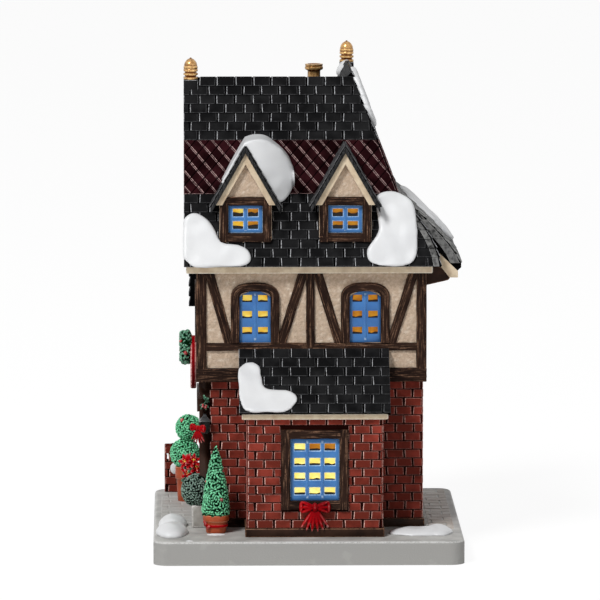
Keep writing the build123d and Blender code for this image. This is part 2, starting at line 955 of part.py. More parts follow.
def chimney_pot():
    bore = pot_radius - pot_wall
    rim_z = pot_height - pot_rim_height
    points = [(bore, 0), (pot_radius + pot_foot, 0), (pot_radius, pot_foot_height), (pot_radius, rim_z),
              (pot_rim, rim_z), (pot_rim, pot_height), (bore, pot_height)]
    return turned(points, chimney_x, chimney_y, chimney_top_z)


def finial(x, y, z):
    """Acorn on a ringed foot, with its rings as shares of its radius and height."""
    r = finial_radius
    h = finial_height
    cup = (r, h * finial_cup)
    foot = Polyline((0, 0), *[(r * out, h * up) for out, up in finial_rings], cup)
    nut = Spline(cup, (r * finial_nut[0], h * finial_nut[1]), (0, h))
    profile = make_face(foot + nut + Line((0, h), (0, 0)))
    return Pos(x, y, z) * revolve(Plane.XZ * profile, Axis.Z)


front_finial = (front_verge_x + finial_radius, wing_ridge_y, ridge_z - finial_seat)
rear_finial = (main_ridge_x, far_verge_y - finial_radius, main_ridge_z - finial_seat)


def finial_block(x, y, top, head):
    """Square block let into the ridge, which levels the finial, up to the given height."""
    r = finial_radius
    return block(x - r, x + r, y - r, y + r, top - finial_block_height, head)


# Shop front
door_y = shop_end_y - door_width / 2 - door_post
sign_z = jetty_z + sign_rise
wreath_z = jetty_z + wreath_rise


def shopfront():
    frame = block(shop_face_x, ground_front_x, ground_near_y, shop_end_y, base_height, shop_head_z)
    frame -= window_hole(shop_place, shop_window, shop_depth)
    frame -= block(shop_face_x - reach_past, ground_front_x, door_y - door_width / 2,
                   door_y + door_width / 2, base_height - reach_past, base_height + door_height)
    head = block(shop_face_x - shop_head_proud, shop_face_x, ground_near_y, shop_end_y,
                 shop_head_z - shop_head_board, shop_head_z)
    return frame + head


def corbels():
    """Scrolled brackets that carry the jetty over the shop front."""
    toe_x = shop_face_x + corbel_toe
    belly = (shop_face_x - corbel_belly, (shop_head_z + jetty_z) / 2)
    sweep = ThreePointArc((toe_x, shop_head_z), belly, (front_x, jetty_z))
    edges = Polyline((front_x, jetty_z), (ground_front_x, jetty_z), (ground_front_x, shop_head_z),
                     (toe_x, shop_head_z))
    brackets = []
    last_y = shop_end_y - corbel_width
    for y in (ground_near_y, (ground_near_y + last_y) / 2, last_y):
        profile = Plane.XZ.offset(-y) * make_face(sweep + edges)
        brackets.append(extrude(profile, corbel_width, dir=(0, 1, 0)))
    return brackets


def front_door():
    left = door_y - door_width / 2 + panel_gap
    right = door_y + door_width / 2 - panel_gap
    front = ground_front_x - door_thick
    top = door_height - panel_gap
    door = block(front, ground_front_x, left, right, base_height, base_height + top)
    half_lock = door_lock_rail / 2
    for low, high in ((door_rail, door_lock_z - half_lock), (door_lock_z + half_lock, top - door_rail)):
        door -= block(front - reach_past, front + door_panel_sink, left + door_stile, right - door_stile,
                      base_height + low, base_height + high)
    knob_place = Pos(front, left + door_stile / 2, base_height + door_lock_z)
    return door + knob_place * Rot(0, -90, 0) * post(knob_radius, knob_reach)


def gable_skirt():
    """Slate-hung skirt on the front, between the eaves and the windows."""
    low = window_sill_z + house_window["height"] - skirt_lap
    step = (timber_top - low) / skirt_courses
    points = [(front_x, low), (front_x, timber_top)]
    for index in range(skirt_courses):
        points.append((front_x - skirt_depth + skirt_lip, timber_top - step * index))
        points.append((front_x - skirt_depth, timber_top - step * (index + 1)))
    clear = house_window["width"] / 2 + house_window["surround"] + skirt_gap
    return prism_y(points, front_window_ys[0] + clear, front_window_ys[1] - clear)


def sign_board():
    plane = raised(front_wall(front_x - relief, wing_ridge_y), sign_z)
    return extrude(plane * Ellipse(sign_half_width, sign_half_height), sign_thick, dir=plane.z_dir)


def wreath():
    plane = raised(front_wall(front_x - relief - sign_thick, wing_ridge_y), wreath_z)
    return plane * Pos(0, 0, wreath_tube) * Torus(wreath_radius, wreath_tube)


def bow_ring(ring, side, size):
    place = Pos(side * size * ring["out"], size * ring["up"]) * Rot(0, 0, side * bow_turn)
    return place * Ellipse(size * ring["half_width"], size * ring["half_height"])


def bow(plane, size, thick):
    """Two loops, a knot and two cut tails on a wall plane, as shares of the bow's size."""
    face = Sketch() + Circle(size * bow_knot)
    for side in (-1, 1):
        loop = bow_ring(bow_loop, side, size) - bow_ring(bow_hole, side, size)
        face = face + loop + outline([(side * size * out, size * up) for out, up in bow_tail])
    return extrude(plane * face, thick, dir=plane.z_dir)


def window_bow():
    bow_z = lean_place.origin.Z - lean_window["surround"] * window_bow_seat
    plane = raised(near_wall(lean_middle_x, lean_near_y - surround_proud), bow_z)
    return bow(plane, window_bow_size, window_bow_thick)


lantern_x = ground_front_x - shop_depth / 2
lantern_y = ground_near_y - lantern_out
lantern_z = shop_head_z - lantern_drop


def square(side, z):
    return Pos(0, 0, z) * Rectangle(side, side)


def lantern():
    """Four-sided wall lantern on a short arm, on the shop front's corner post."""
    roof_z = lantern_height
    arm_z = roof_z + lantern_roof_height
    body = loft([square(lantern_foot, 0), square(lantern_width, roof_z)])
    body += loft([square(lantern_roof, roof_z), square(lantern_tip, arm_z)])
    half = lantern_rod / 2
    arm = block(-half, half, -half, lantern_out, arm_z - half, arm_z + half)
    return Pos(lantern_x, lantern_y, lantern_z) * (body + arm)


def lantern_bow():
    front_y = lantern_y - lantern_width / 2
    plane = raised(near_wall(lantern_x - lantern_bow_thick, front_y), lantern_z)
    return bow(plane, lantern_bow_size, lantern_bow_thick)


# Yard
planter_x = ground_front_x - planter_out
planter_near_y = ground_near_y - planter_near
planter_top_z = base_height + planter_height
cone_x = lean_left_x - cone_from_lean
cone_y = ground_near_y - cone_from_wall
topiary_x = ground_front_x - topiary_from_front
topiary_y = wing_far_y + topiary_from_wing
pier_x = pier_from_side - base_width / 2
pier_y = base_depth / 2 - pier_from_far
box_top_z = shop_place.origin.Z - box_drop
box_middle_x = shop_face_x - box_depth / 2


def stone_planter():
    near = block(planter_x, ground_front_x, planter_near_y, ground_near_y, base_height, planter_top_z)
    side = block(planter_x, shop_face_x, planter_near_y, planter_near_y + planter_length,
                 base_height, planter_top_z)
    return near + side


def box_ball():
    centre = Pos(planter_x + box_ball_in, planter_near_y + box_ball_back,
                 planter_top_z + box_ball_radius - box_ball_sink)
    return centre * Sphere(box_ball_radius)


def tub(r, h, x, y):
    """Tapered pot with a rim, filled to the top."""
    points = [(0, 0), (r * tub_foot, 0), (r * tub_neck, h * tub_rim), (r, h * tub_rim), (r, h), (0, h)]
    return turned(points, x, y, base_height)


def cone_pot():
    return tub(cone_pot_radius, cone_pot_height, cone_x, cone_y)


def cone_topiary():
    r = cone_radius
    h = cone_height
    skirt = (r, h * cone_skirt)
    foot = Polyline((0, 0), (r * cone_foot, 0), skirt)
    flank = Spline(skirt, (r * cone_flank[0], h * cone_flank[1]), (0, h))
    profile = make_face(foot + flank + Line((0, h), (0, 0)))
    return Pos(cone_x, cone_y, base_height + cone_pot_height) * revolve(Plane.XZ * profile, Axis.Z)


def ball_pot():
    return tub(topiary_pot_radius, topiary_pot_height, topiary_x, topiary_y)


def ball_topiary():
    """Two clipped balls on one stem."""
    low_z = base_height + topiary_pot_height + topiary_low_radius - topiary_sink
    high_z = low_z + topiary_low_radius + topiary_high_radius - topiary_sink / 2
    low = Pos(topiary_x, topiary_y, low_z) * Sphere(topiary_low_radius)
    high = Pos(topiary_x + topiary_lean, topiary_y, high_z) * Sphere(topiary_high_radius)
    stem = Pos(topiary_x, topiary_y, low_z) * post(topiary_stem, high_z - low_z)
    return low + high + stem


def window_box():
    """Plank box hung on the shop front under its window."""
    half = box_length / 2
    return block(shop_face_x - box_depth, shop_face_x, shop_window_y - half, shop_window_y + half,
                 box_top_z - box_height, box_top_z)


def poinsettias():
    """Low leafy bank in the window box with pointed flowers, tipped outwards."""
    half_x = box_depth / 2 - bank_margin / 2
    half_y = box_length / 2 - bank_margin
    bank = Pos(box_middle_x, shop_window_y, box_top_z) * scale(Sphere(1.0), by=(half_x, half_y, bank_height))
    bank = bank & block(box_middle_x - half_x, box_middle_x + half_x, shop_window_y - half_y,
                        shop_window_y + half_y, box_top_z, box_top_z + bank_height)
    middle = flower_radius / 2
    petal = outline([(0, 0), (middle, petal_half), (flower_radius, 0), (middle, -petal_half)])
    tip = math.radians(flower_tip)
    for index in range(flowers):
        star = Sketch() + Circle(flower_eye)
        for turn in range(flower_petals):
            star = star + Rot(0, 0, flower_twist * index + turn * 360 / flower_petals) * petal
        y = shop_window_y + (index - (flowers - 1) / 2) * box_length / flowers
        plane = Plane(origin=(box_middle_x - bank_margin, y, box_top_z + flower_lift + index % 2),
                      x_dir=(0, -1, 0), z_dir=(-math.cos(tip), 0, math.sin(tip)))
        bank = bank + extrude(plane * star, flower_thick, dir=plane.z_dir)
    return bank


def brick_pier():
    right = pier_x + pier_width
    far = pier_y + pier_depth
    low = block(pier_x, right, pier_y, far, base_height, base_height + pier_shoulder)
    return low + block(pier_x + pier_step, right, pier_y, far, base_height, base_height + pier_height)


# Snow: each patch is a smooth outline, measured from a corner that it lies at
def blob(points, corner):
    return make_face(Spline(*[(corner[0] + x, corner[1] + z) for x, z in points], periodic=True))


left_patch = [(0.4, 18.4), (4.5, 21.0), (9.6, 18.5), (15.8, 9.8), (20.4, 8.7), (26.6, 6.2), (27.6, 3.0),
              (24.0, 0.8), (12.0, 0.5), (4.0, 0.5), (0.4, 3.2)]
right_patch = [(-17.7, 29.0), (-10.7, 29.2), (-6.6, 27.2), (-2.9, 13.1), (-3.0, 6.3), (-5.4, 1.8),
               (-10.7, 0.6), (-17.7, 0.6), (-23.0, 2.9), (-23.2, 6.6), (-19.0, 12.8), (-18.8, 20.0)]
lean_patch = [(0.4, 16.6), (4.0, 18.4), (8.2, 16.7), (10.0, 9.6), (14.4, 8.2), (21.2, 7.6), (23.8, 5.4),
              (22.2, 2.8), (8.9, 0.9), (1.6, 2.2), (0.3, 6.0)]
dormer_patch = [(-9.3, -14.7), (-6.5, -6.3), (-0.3, 1.5), (4.0, 2.6), (8.1, 2.1), (12.3, -0.3),
                (19.5, -10.5), (19.8, -15.4), (18.3, -20.3), (15.1, -23.4), (12.3, -23.4), (6.7, -13.8),
                (0.0, -2.8), (-5.3, -12.4)]
ridge_patch = [(1.3, -1.4), (17.3, 0.2), (33.3, -2.4), (36.3, -14.4), (23.3, -22.4), (11.3, -17.4),
               (0.3, -22.4), (-5.2, -17.4)]
flare_patch = [(27.0, 25.0), (38.0, 27.4), (48.5, 25.0), (50.0, 15.0), (47.5, 7.4), (38.0, 5.8),
               (28.0, 7.6), (25.0, 15.0)]


def near_snow(points, corner, foot, head, left_x):
    """Patch on a near-side slope that runs from its foot to its head, both given as (y, z)."""
    layer = prism_x([foot, head, (head[0] - snow_depth, head[1]), (foot[0] - snow_depth, foot[1])],
                    left_x, base_width / 2)
    patch = extrude(Plane.XZ * blob(points, corner), base_depth / 2, dir=(0, -1, 0))
    return patch & layer


def rear_snow(points, corner):
    """Patch on the rear slope, drawn in (y, z)."""
    line = [(main_ridge_x + flare_reach(z) + snow_seat, z) for z in main_levels]
    layer = prism_y(line + [(x + snow_depth, z) for x, z in line[::-1]], near_y, far_y)
    patch = extrude(Plane.YZ.offset(main_ridge_x) * blob(points, corner), flare_run + snow_depth,
                    dir=(1, 0, 0))
    return patch & layer


def roof_snow():
    foot = (near_eave_y, eave_z)
    head = (wing_ridge_y, ridge_z)
    left = near_snow(left_patch, (front_verge_x, eave_z), foot, head, front_verge_x)
    right = near_snow(right_patch, (back_x, eave_z), foot, head, front_verge_x)
    cap_face = Plane.XZ.offset(-dormer_back_y) * blob(dormer_patch, (dormer_xs[0], dormer_apex))
    cap = extrude(cap_face, dormer_back_y - dormer_face_y + snow_depth, dir=(0, -1, 0))
    under = wedge(dormer_xs[0], dormer_inner_apex, dormer_slope, dormer_levels[-1])
    cap = cap - prism_y(under, dormer_face_y - dormer_overhang, dormer_back_y)
    ridge = rear_snow(ridge_patch, (wing_ridge_y, main_ridge_z))
    ridge = ridge & prism_x(near_limit_outline(), 0, base_width / 2)
    flare = rear_snow(flare_patch, (flare_near_y, eave_z))
    return left, right, cap, ridge, flare


def lean_to_snow():
    foot = (lean_eave_y, lean_eave_z)
    head = (lean_back_y, lean_top_z)
    patch = near_snow(lean_patch, (lean_roof_left, lean_eave_z), foot, head, lean_roof_left)
    return patch - lean_to_roof()


def drift(x0, x1, y0, y1, high):
    """Low mound of snow on the slab, over the given rectangle."""
    half_x = (x1 - x0) / 2
    half_y = (y1 - y0) / 2
    lump = Pos(x0 + half_x, y0 + half_y, base_height) * scale(Sphere(1.0), by=(half_x, half_y, high))
    return lump & block(x0, x1, y0, y1, base_height, base_height + high)


def ground_snow():
    """Two overlapping drifts at each near corner, between the slab's edge and the house."""
    side = base_width / 2
    near = drift_near - base_depth / 2
    left_x = planter_x - drift_clear
    left = drift(drift_in - side, left_x, near, near + drift_length, drift_height)
    start = near + drift_step
    left += drift(2 * drift_in - side, left_x, start, start + drift_length, drift_height)
    right_x = lean_right_x + relief + drift_clear
    low_near = near + low_drift_back
    right = drift(right_x, side - low_drift_in, low_near, low_near + low_drift_depth, low_drift_height)
    right += drift(back_x, side - low_drift_in, low_near, low_near + low_drift_length, low_drift_height)
    return left, right


# Light unit, centred under the main block and the wing's end
tray_cells_width = cell_pitch * cells + 2 * tray_side_gap
tray_width = tray_cells_width + 2 * tray_wall
cell_bay_length = cell_length + spring_length + 2 * contact_thick + cell_slack
tray_length = cell_bay_length + boss + tray_bay + 2 * tray_wall
tray_x = (ground_main_front_x + ground_back_x) / 2
tray_left = tray_x - tray_width / 2
tray_right = tray_x + tray_width / 2
tray_near_y = (ground_near_y + ground_far_y - tray_length) / 2
tray_far_y = tray_near_y + tray_length
cell_bay_near = tray_near_y + tray_wall
cell_bay_far = cell_bay_near + cell_bay_length
bay_top_z = flange_top_z + 2 * cell_radius + tray_headroom
tray_top_z = bay_top_z + tray_wall
cell_z = bay_top_z - cell_radius - cell_lift
cell_xs = [tray_x + (index - (cells - 1) / 2) * cell_pitch for index in range(cells)]
cover_top_z = flange_low_z + cover_thick
cover_left = tray_left + tray_wall + cover_side
cover_right = tray_right - tray_wall - cover_side
hinge_y = cell_bay_near + hinge_in
hinge_z = flange_low_z + hinge_radius
cover_far = cell_bay_far + boss - cover_end
screw_y = cell_bay_far + boss / 2 - boss_shift
switch_y = cell_bay_far + boss + tray_bay / 2
led_y = hinge_y + led_back
led_board_z = tray_top_z + led_post_height


def battery_tray():
    tray = block(tray_left, tray_right, tray_near_y, tray_far_y, flange_low_z, tray_top_z)
    tray += block(tray_left - flange, tray_right + flange, tray_near_y - flange, tray_far_y + flange,
                  flange_low_z, flange_top_z)
    tray -= block(tray_left + tray_wall, tray_right - tray_wall, cell_bay_near, cell_bay_far,
                  flange_top_z, bay_top_z)
    tray -= block(cover_left - move_gap, cover_right + move_gap, hinge_y - hinge_radius - move_gap,
                  cover_far + move_gap, 0, flange_top_z + move_gap)
    tray -= Pos(tray_x, screw_y, flange_top_z) * Cylinder(screw_radius + screw_gap, 2 * screw_length)
    room = switch_depth / 2 + switch_room
    tray -= block(tray_x - switch_half - switch_room, tray_x + switch_half + switch_room,
                  switch_y - room, switch_y + room, flange_top_z, bay_top_z)
    half_slot = knob_width / 2 + move_gap
    half_knob = knob_length / 2 + move_gap
    tray -= block(tray_x - switch_travel - half_knob, tray_x + half_knob, switch_y - half_slot,
                  switch_y + half_slot, 0, flange_top_z + reach_past)
    for x in (cover_left, cover_right):
        bore = Cylinder(pin_radius + pin_gap, 2 * (pin_length + pin_hole_end))
        tray -= Pos(x, hinge_y, hinge_z) * Rot(0, 90, 0) * bore
    return tray - Pos(tray_x, led_y, bay_top_z - reach_past) * post(led_post_bore, tray_wall + 2 * reach_past)


def battery_cover():
    plate = block(cover_left, cover_right, hinge_y, cover_far, flange_low_z, cover_top_z)
    cover_width = cover_right - cover_left
    hinge_line = Pos(tray_x, hinge_y, hinge_z) * Rot(0, 90, 0)
    cover = plate + hinge_line * Cylinder(hinge_radius, cover_width)
    cover += hinge_line * Cylinder(pin_radius, cover_width + 2 * pin_length)
    cover -= Pos(tray_x, screw_y, 0) * post(screw_radius + screw_fit, flange_top_z)
    cover -= Pos(tray_x, screw_y, 0) * post(screw_head + screw_fit, flange_low_z + screw_head_height)
    for index in range(grip_ribs):
        y = hinge_y + grip_start + index * grip_pitch
        cover -= block(tray_x - grip_half, tray_x + grip_half, y, y + grip_width,
                       0, flange_low_z + grip_depth)
    return cover


def cover_screw():
    screw = post(screw_head, screw_head_height) + Pos(0, 0, screw_head_height) * post(
        screw_radius, screw_length)
    slot = block(-screw_head, screw_head, -screw_slot / 2, screw_slot / 2, 0, screw_slot_depth)
    return Pos(tray_x, screw_y, flange_low_z) * (screw - slot)


def battery_cells():
    """Round cells side by side, every other one turned end for end."""
    can_length = cell_length - cell_button
    can = [(0, 0), (cell_radius, 0), (cell_radius, can_length), (cell_button_radius, can_length),
           (cell_button_radius, cell_length), (0, cell_length)]
    cell = revolve(Plane.XZ * outline(can), Axis.Z)
    forward_y = cell_bay_near + contact_thick + spring_length + cell_gap
    turned_y = cell_bay_near + contact_thick + 2 * cell_gap + cell_length
    shapes = []
    for index, x in enumerate(cell_xs):
        if index % 2 == 0:
            shapes.append(Pos(x, forward_y, cell_z) * Rot(-90, 0, 0) * cell)
        else:
            shapes.append(Pos(x, turned_y, cell_z) * Rot(90, 0, 0) * cell)
    return shapes


def contact_plates():
    half = contact_width / 2
    shapes = []
    for x in cell_xs:
        for y in (cell_bay_near, cell_bay_far - contact_thick):
            shapes.append(block(x - half, x + half, y, y + contact_thick, cell_z - half, cell_z + half))
    return shapes


def contact_springs():
    """Conical coil springs, drawn as the sleeve that their wire fills."""
    sleeve = [(spring_tip_radius, 0), (spring_tip_radius + spring_wire, 0),
              (spring_base_radius + spring_wire, spring_length), (spring_base_radius, spring_length)]
    spring = revolve(Plane.XZ * outline(sleeve), Axis.Z)
    near_y_end = cell_bay_near + contact_thick + spring_length
    far_y_end = cell_bay_far - contact_thick - spring_length
    shapes = []
    for index, x in enumerate(cell_xs):
        if index % 2 == 0:
            shapes.append(Pos(x, near_y_end, cell_z) * Rot(90, 0, 0) * spring)
        else:
            shapes.append(Pos(x, far_y_end, cell_z) * Rot(-90, 0, 0) * spring)
    return shapes


def switch_body():
    half = switch_depth / 2
    body = block(tray_x - switch_half, tray_x + switch_half, switch_y - half, switch_y + half,
                 flange_top_z, bay_top_z)
    end = knob_length / 2 + foot_side + move_gap
    side = foot_half + move_gap
    recess_top = flange_top_z + foot_height + 2 * move_gap
    recess = block(tray_x - switch_travel - end, tray_x + end, switch_y - side, switch_y + side,
                   flange_top_z - reach_past, recess_top)
    return body - recess


def switch_slider():
    half = knob_length / 2
    knob = block(tray_x - half, tray_x + half, switch_y - knob_width / 2, switch_y + knob_width / 2,
                 flange_low_z + knob_sink, flange_top_z + 2 * move_gap)
    foot_z = flange_top_z + move_gap
    foot = block(tray_x - half - foot_side, tray_x + half + foot_side, switch_y - foot_half,
                 switch_y + foot_half, foot_z, foot_z + foot_height)
    return knob + foot


def led_post():
    tube = post(led_foot_radius, led_foot_height) + post(led_post_radius, led_post_height)
    return Pos(tray_x, led_y, tray_top_z) * (tube - post(led_post_bore, led_post_height))


def led_board():
    return Pos(tray_x, led_y, led_board_z) * post(led_board_radius, led_board_thick)


def led_lens():
    barrel = post(led_radius, led_barrel)
    dome = Pos(0, 0, led_barrel) * Sphere(led_radius, arc_size1=0)
    top_z = led_board_z + led_board_thick
    return [Pos(tray_x + side * led_spread, led_y, top_z) * (barrel + dome) for side in (-1, 1)]


def lead_wires():
    wire = post(wire_radius, led_board_z - bay_top_z)
    return [Pos(tray_x + side * wire_spread, led_y, bay_top_z) * wire for side in (-1, 1)]


# Assembly
def keep_walls():
    keep("base_slab", base_slab())
    keep("ground_floor_walls", ground_floor_walls())
    keep("upper_storey_walls", upper_storey_walls())
    keep("front_gable_wall", wing_hollow(front_x, front_x + wall, eave_z))
    keep("far_gable_wall", main_hollow(far_y - wall, far_y, eave_z))
    keep("near_timbers", near_timbers())
    keep("front_timbers", front_timbers())
    keep("rear_timbers", *court_timbers(), far_timbers(), back_timbers())
    keep("eave_cornices", *eave_cornices())
    keep("rear_eave_box", rear_eave_box())
    keep("plinth_boards", *plinth_boards())
    house_places = upper_places + ground_places
    keep("house_windows", *[window_panel(place, house_window) for place in house_places])
    keep("window_films", *[window_film(place, house_window) for place in house_places])
    keep("window_surrounds", *[window_surround(place, house_window) for place in ground_places])


def keep_roof():
    """Roof shell and all that is cut to sit on its slates."""
    outer = roof_outer()
    roof = outer - roof_hollow()
    for x in dormer_xs:
        roof -= dormer_cavity(x, near_eave_y, wing_ridge_y)
    for x, y, top in (front_finial, rear_finial):
        roof -= finial_block(x, y, top, main_ridge_z + reach_past)
        keep("finial_blocks", finial_block(x, y, top, top))
        keep("finials", finial(x, y, top))
    keep("roof_shell", roof)
    keep("chimney_stack", chimney_stack() - outer)
    keep("chimney_pot", chimney_pot())
    keep("bargeboards", rear_bargeboard() - outer, *gable_bargeboards())
    seats = [outer]
    for x, place in zip(dormer_xs, dormer_places):
        body = dormer_body(x, place) - outer
        cover = dormer_roof(x) - outer
        board = dormer_board(x)
        proud = dormer_overhang - board_set_back - board_thick
        surround = window_surround(place, dormer_window, proud) - outer - cover
        keep("dormers", body)
        keep("dormer_roofs", cover)
        keep("bargeboards", board)
        keep("window_surrounds", surround)
        keep("dormer_windows", window_panel(place, dormer_window))
        keep("window_films", window_film(place, dormer_window))
        seats.extend([body, cover, board, surround])
    for patch in roof_snow():
        for seat in seats:
            patch = patch - seat
        keep("roof_snow", patch)


def keep_lean_to():
    keep("lean_to_walls", lean_to_walls())
    keep("lean_to_roof", lean_to_roof())
    keep("eave_cornices", lean_to_fascia())
    keep("lean_to_window", window_panel(lean_place, lean_window))
    keep("window_films", window_film(lean_place, lean_window))
    keep("window_surrounds", window_surround(lean_place, lean_window))
    keep("lean_to_snow", lean_to_snow())
    keep("window_bow", window_bow())


def keep_shop():
    planter = stone_planter()
    box = window_box()
    front = shopfront() - planter
    keep("shopfront", front, *corbels())
    keep("shop_window", window_panel(shop_place, shop_window))
    keep("window_films", window_film(shop_place, shop_window))
    keep("front_door", front_door())
    keep("gable_skirt", gable_skirt() - front_timbers())
    keep("sign_board", sign_board())
    keep("wreath", wreath())
    keep("lantern", lantern())
    keep("lantern_bow", lantern_bow())
    keep("window_box", box)
    keep("poinsettias", poinsettias())
    keep("stone_planter", planter)
    ground_block = prism_z(ground_plan(0), base_height, jetty_z)
    keep("box_ball", box_ball() - front - planter - ground_block - box)


def keep_yard():
    keep("cone_pot", cone_pot())
    keep("cone_topiary", cone_topiary())
    keep("ball_pot", ball_pot())
    keep("ball_topiary", ball_topiary() - ball_pot())
    keep("brick_pier", brick_pier())
    keep("ground_snow", *ground_snow())


def keep_light_unit():
    keep("battery_tray", battery_tray())
    keep("battery_cover", battery_cover())
    keep("cover_screw", cover_screw())
    keep("battery_cells", *battery_cells())
    keep("contact_plates", *contact_plates())
    keep("contact_springs", *contact_springs())
    keep("switch_body", switch_body())
    keep("switch_slider", switch_slider())
    keep("led_post", led_post())
    keep("led_board", led_board())
    keep("led_lens", *led_lens())
    keep("lead_wires", *lead_wires())


keep_walls()
keep_roof()
keep_lean_to()
keep_shop()
keep_yard()
keep_light_unit()
os.makedirs("parts", exist_ok=True)
for name, solids in nodes.items():
    shape = solids[0] if len(solids) == 1 else Compound(children=solids)
    export_step(shape, os.path.join("parts", name + ".step"))
    print(name, len(solids))
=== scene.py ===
# %% [markdown]
# # A lit village house in painted ceramic
# The real object is a set of slip-cast pieces, joined while damp, fired, and painted by hand. The packed
# model gives every casting its true size and place. This lesson adds what the modeller's tools and the
# painter left on it: single slates and bricks, hewn timbers, rough stucco, thick snow, clipped shrubs and
# worn edges.

# %% Load the castings
import math
import random
from collections import namedtuple
import bmesh
import bpy
from mathutils import Matrix, Vector, noise


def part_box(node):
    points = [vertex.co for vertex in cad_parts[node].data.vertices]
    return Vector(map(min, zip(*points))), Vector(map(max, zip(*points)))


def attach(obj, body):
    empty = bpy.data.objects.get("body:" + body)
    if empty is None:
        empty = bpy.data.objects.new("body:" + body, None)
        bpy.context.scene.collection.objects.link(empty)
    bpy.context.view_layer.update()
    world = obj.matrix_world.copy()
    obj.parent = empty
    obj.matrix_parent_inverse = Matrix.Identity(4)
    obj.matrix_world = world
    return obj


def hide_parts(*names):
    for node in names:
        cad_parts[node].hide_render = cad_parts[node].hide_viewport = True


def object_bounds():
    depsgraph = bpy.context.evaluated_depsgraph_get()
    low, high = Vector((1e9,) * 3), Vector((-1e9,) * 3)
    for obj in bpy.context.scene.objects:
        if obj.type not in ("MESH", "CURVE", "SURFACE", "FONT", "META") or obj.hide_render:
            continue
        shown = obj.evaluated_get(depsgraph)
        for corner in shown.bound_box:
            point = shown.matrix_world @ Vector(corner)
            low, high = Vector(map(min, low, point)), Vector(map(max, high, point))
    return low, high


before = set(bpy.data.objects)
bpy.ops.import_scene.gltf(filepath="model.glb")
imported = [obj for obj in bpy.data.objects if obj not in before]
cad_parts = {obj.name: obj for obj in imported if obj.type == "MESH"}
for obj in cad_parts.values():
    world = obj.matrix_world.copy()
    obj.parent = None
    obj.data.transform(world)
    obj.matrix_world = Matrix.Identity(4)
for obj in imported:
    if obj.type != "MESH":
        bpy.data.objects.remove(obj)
cad_low, cad_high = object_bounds()
scene = bpy.context.scene
up = Vector((0, 0, 1))
near = Vector((0, -1, 0))
along_x = Vector((1, 0, 0))
along_y = Vector((0, 1, 0))


def box(node):
    """Corners of a casting in millimetres, the unit that all the shapes below are drawn in."""
    low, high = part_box(node)
    return low * 1000, high * 1000


print("castings fill", [round(1000 * (b - a), 1) for a, b in zip(cad_low, cad_high)], "mm")

# %% [markdown]
# ## Camera
# The catalogue picture was taken from far away with a long lens, a little above the house, square on to its
# long side. A long lens keeps the walls upright. The lens length follows from the distance and from how
# many millimetres one picture dot covers.

# %% Camera
view_turn = math.radians(-1.1)
view_rise = math.radians(7.2)
view_distance = 2.5
dot_size = 0.00042
picture_dots = 600
aim = Vector((-0.0025, 0.0, 0.101))
backwards = Vector((math.sin(view_turn) * math.cos(view_rise), -math.cos(view_turn) * math.cos(view_rise),
                    math.sin(view_rise)))
lens = bpy.data.cameras.new("catalogue_lens")
lens.sensor_width = 36.0
lens.lens = lens.sensor_width * view_distance / (dot_size * picture_dots)
lens.clip_end = 50.0
camera = bpy.data.objects.new("catalogue_camera", lens)
camera.location = aim + backwards * view_distance
camera.rotation_euler = backwards.to_track_quat("Z", "Y").to_euler()
scene.collection.objects.link(camera)
scene.camera = camera
scene.view_settings.view_transform = "Standard"
print("lens", round(lens.lens, 1), "mm")

# %% [markdown]
# ## Small helpers for node trees
# Every node tree in this lesson is wired with one helper. It adds a node, sets its options, and feeds each
# input with a plain value, from a socket, or from the first output of another node.


# %% Node helpers
def out(node):
    return next(socket for socket in node.outputs if socket.enabled)


def add(tree, kind, feeds, **options):
    """Adds a node. Feeds are keyed by the name or by the place of an input."""
    node = tree.nodes.new(kind)
    for key, value in options.items():
        setattr(node, key, value)
    usable = [socket for socket in node.inputs if socket.enabled]
    for key, value in feeds.items():
        socket = usable[key] if isinstance(key, int) else node.inputs[key]
        source = out(value) if isinstance(value, bpy.types.Node) else value
        if isinstance(source, bpy.types.NodeSocket):
            tree.links.new(source, socket)
        else:
            socket.default_value = source
    return node


def maths(tree, operation, one, two, **options):
    return add(tree, "ShaderNodeMath", {0: one, 1: two}, operation=operation, **options)


def group(name, kind, inputs, outputs):
    """Empty node group with named sockets, given as {label: socket kind}."""
    tree = bpy.data.node_groups.new(name, kind)
    for way, sockets in (("OUTPUT", outputs), ("INPUT", inputs)):
        for label, socket in sockets.items():
            tree.interface.new_socket(label, in_out=way, socket_type="NodeSocket" + socket)
    return tree, tree.nodes.new("NodeGroupInput").outputs, tree.nodes.new("NodeGroupOutput").inputs


def colour(code):
    """Linear colour for a paint code such as 6e2b23."""
    parts = [int(code[start:start + 2], 16) / 255 for start in (0, 2, 4)]
    return tuple(p / 12.92 if p <= 0.04045 else ((p + 0.055) / 1.055) ** 2.4 for p in parts) + (1.0,)
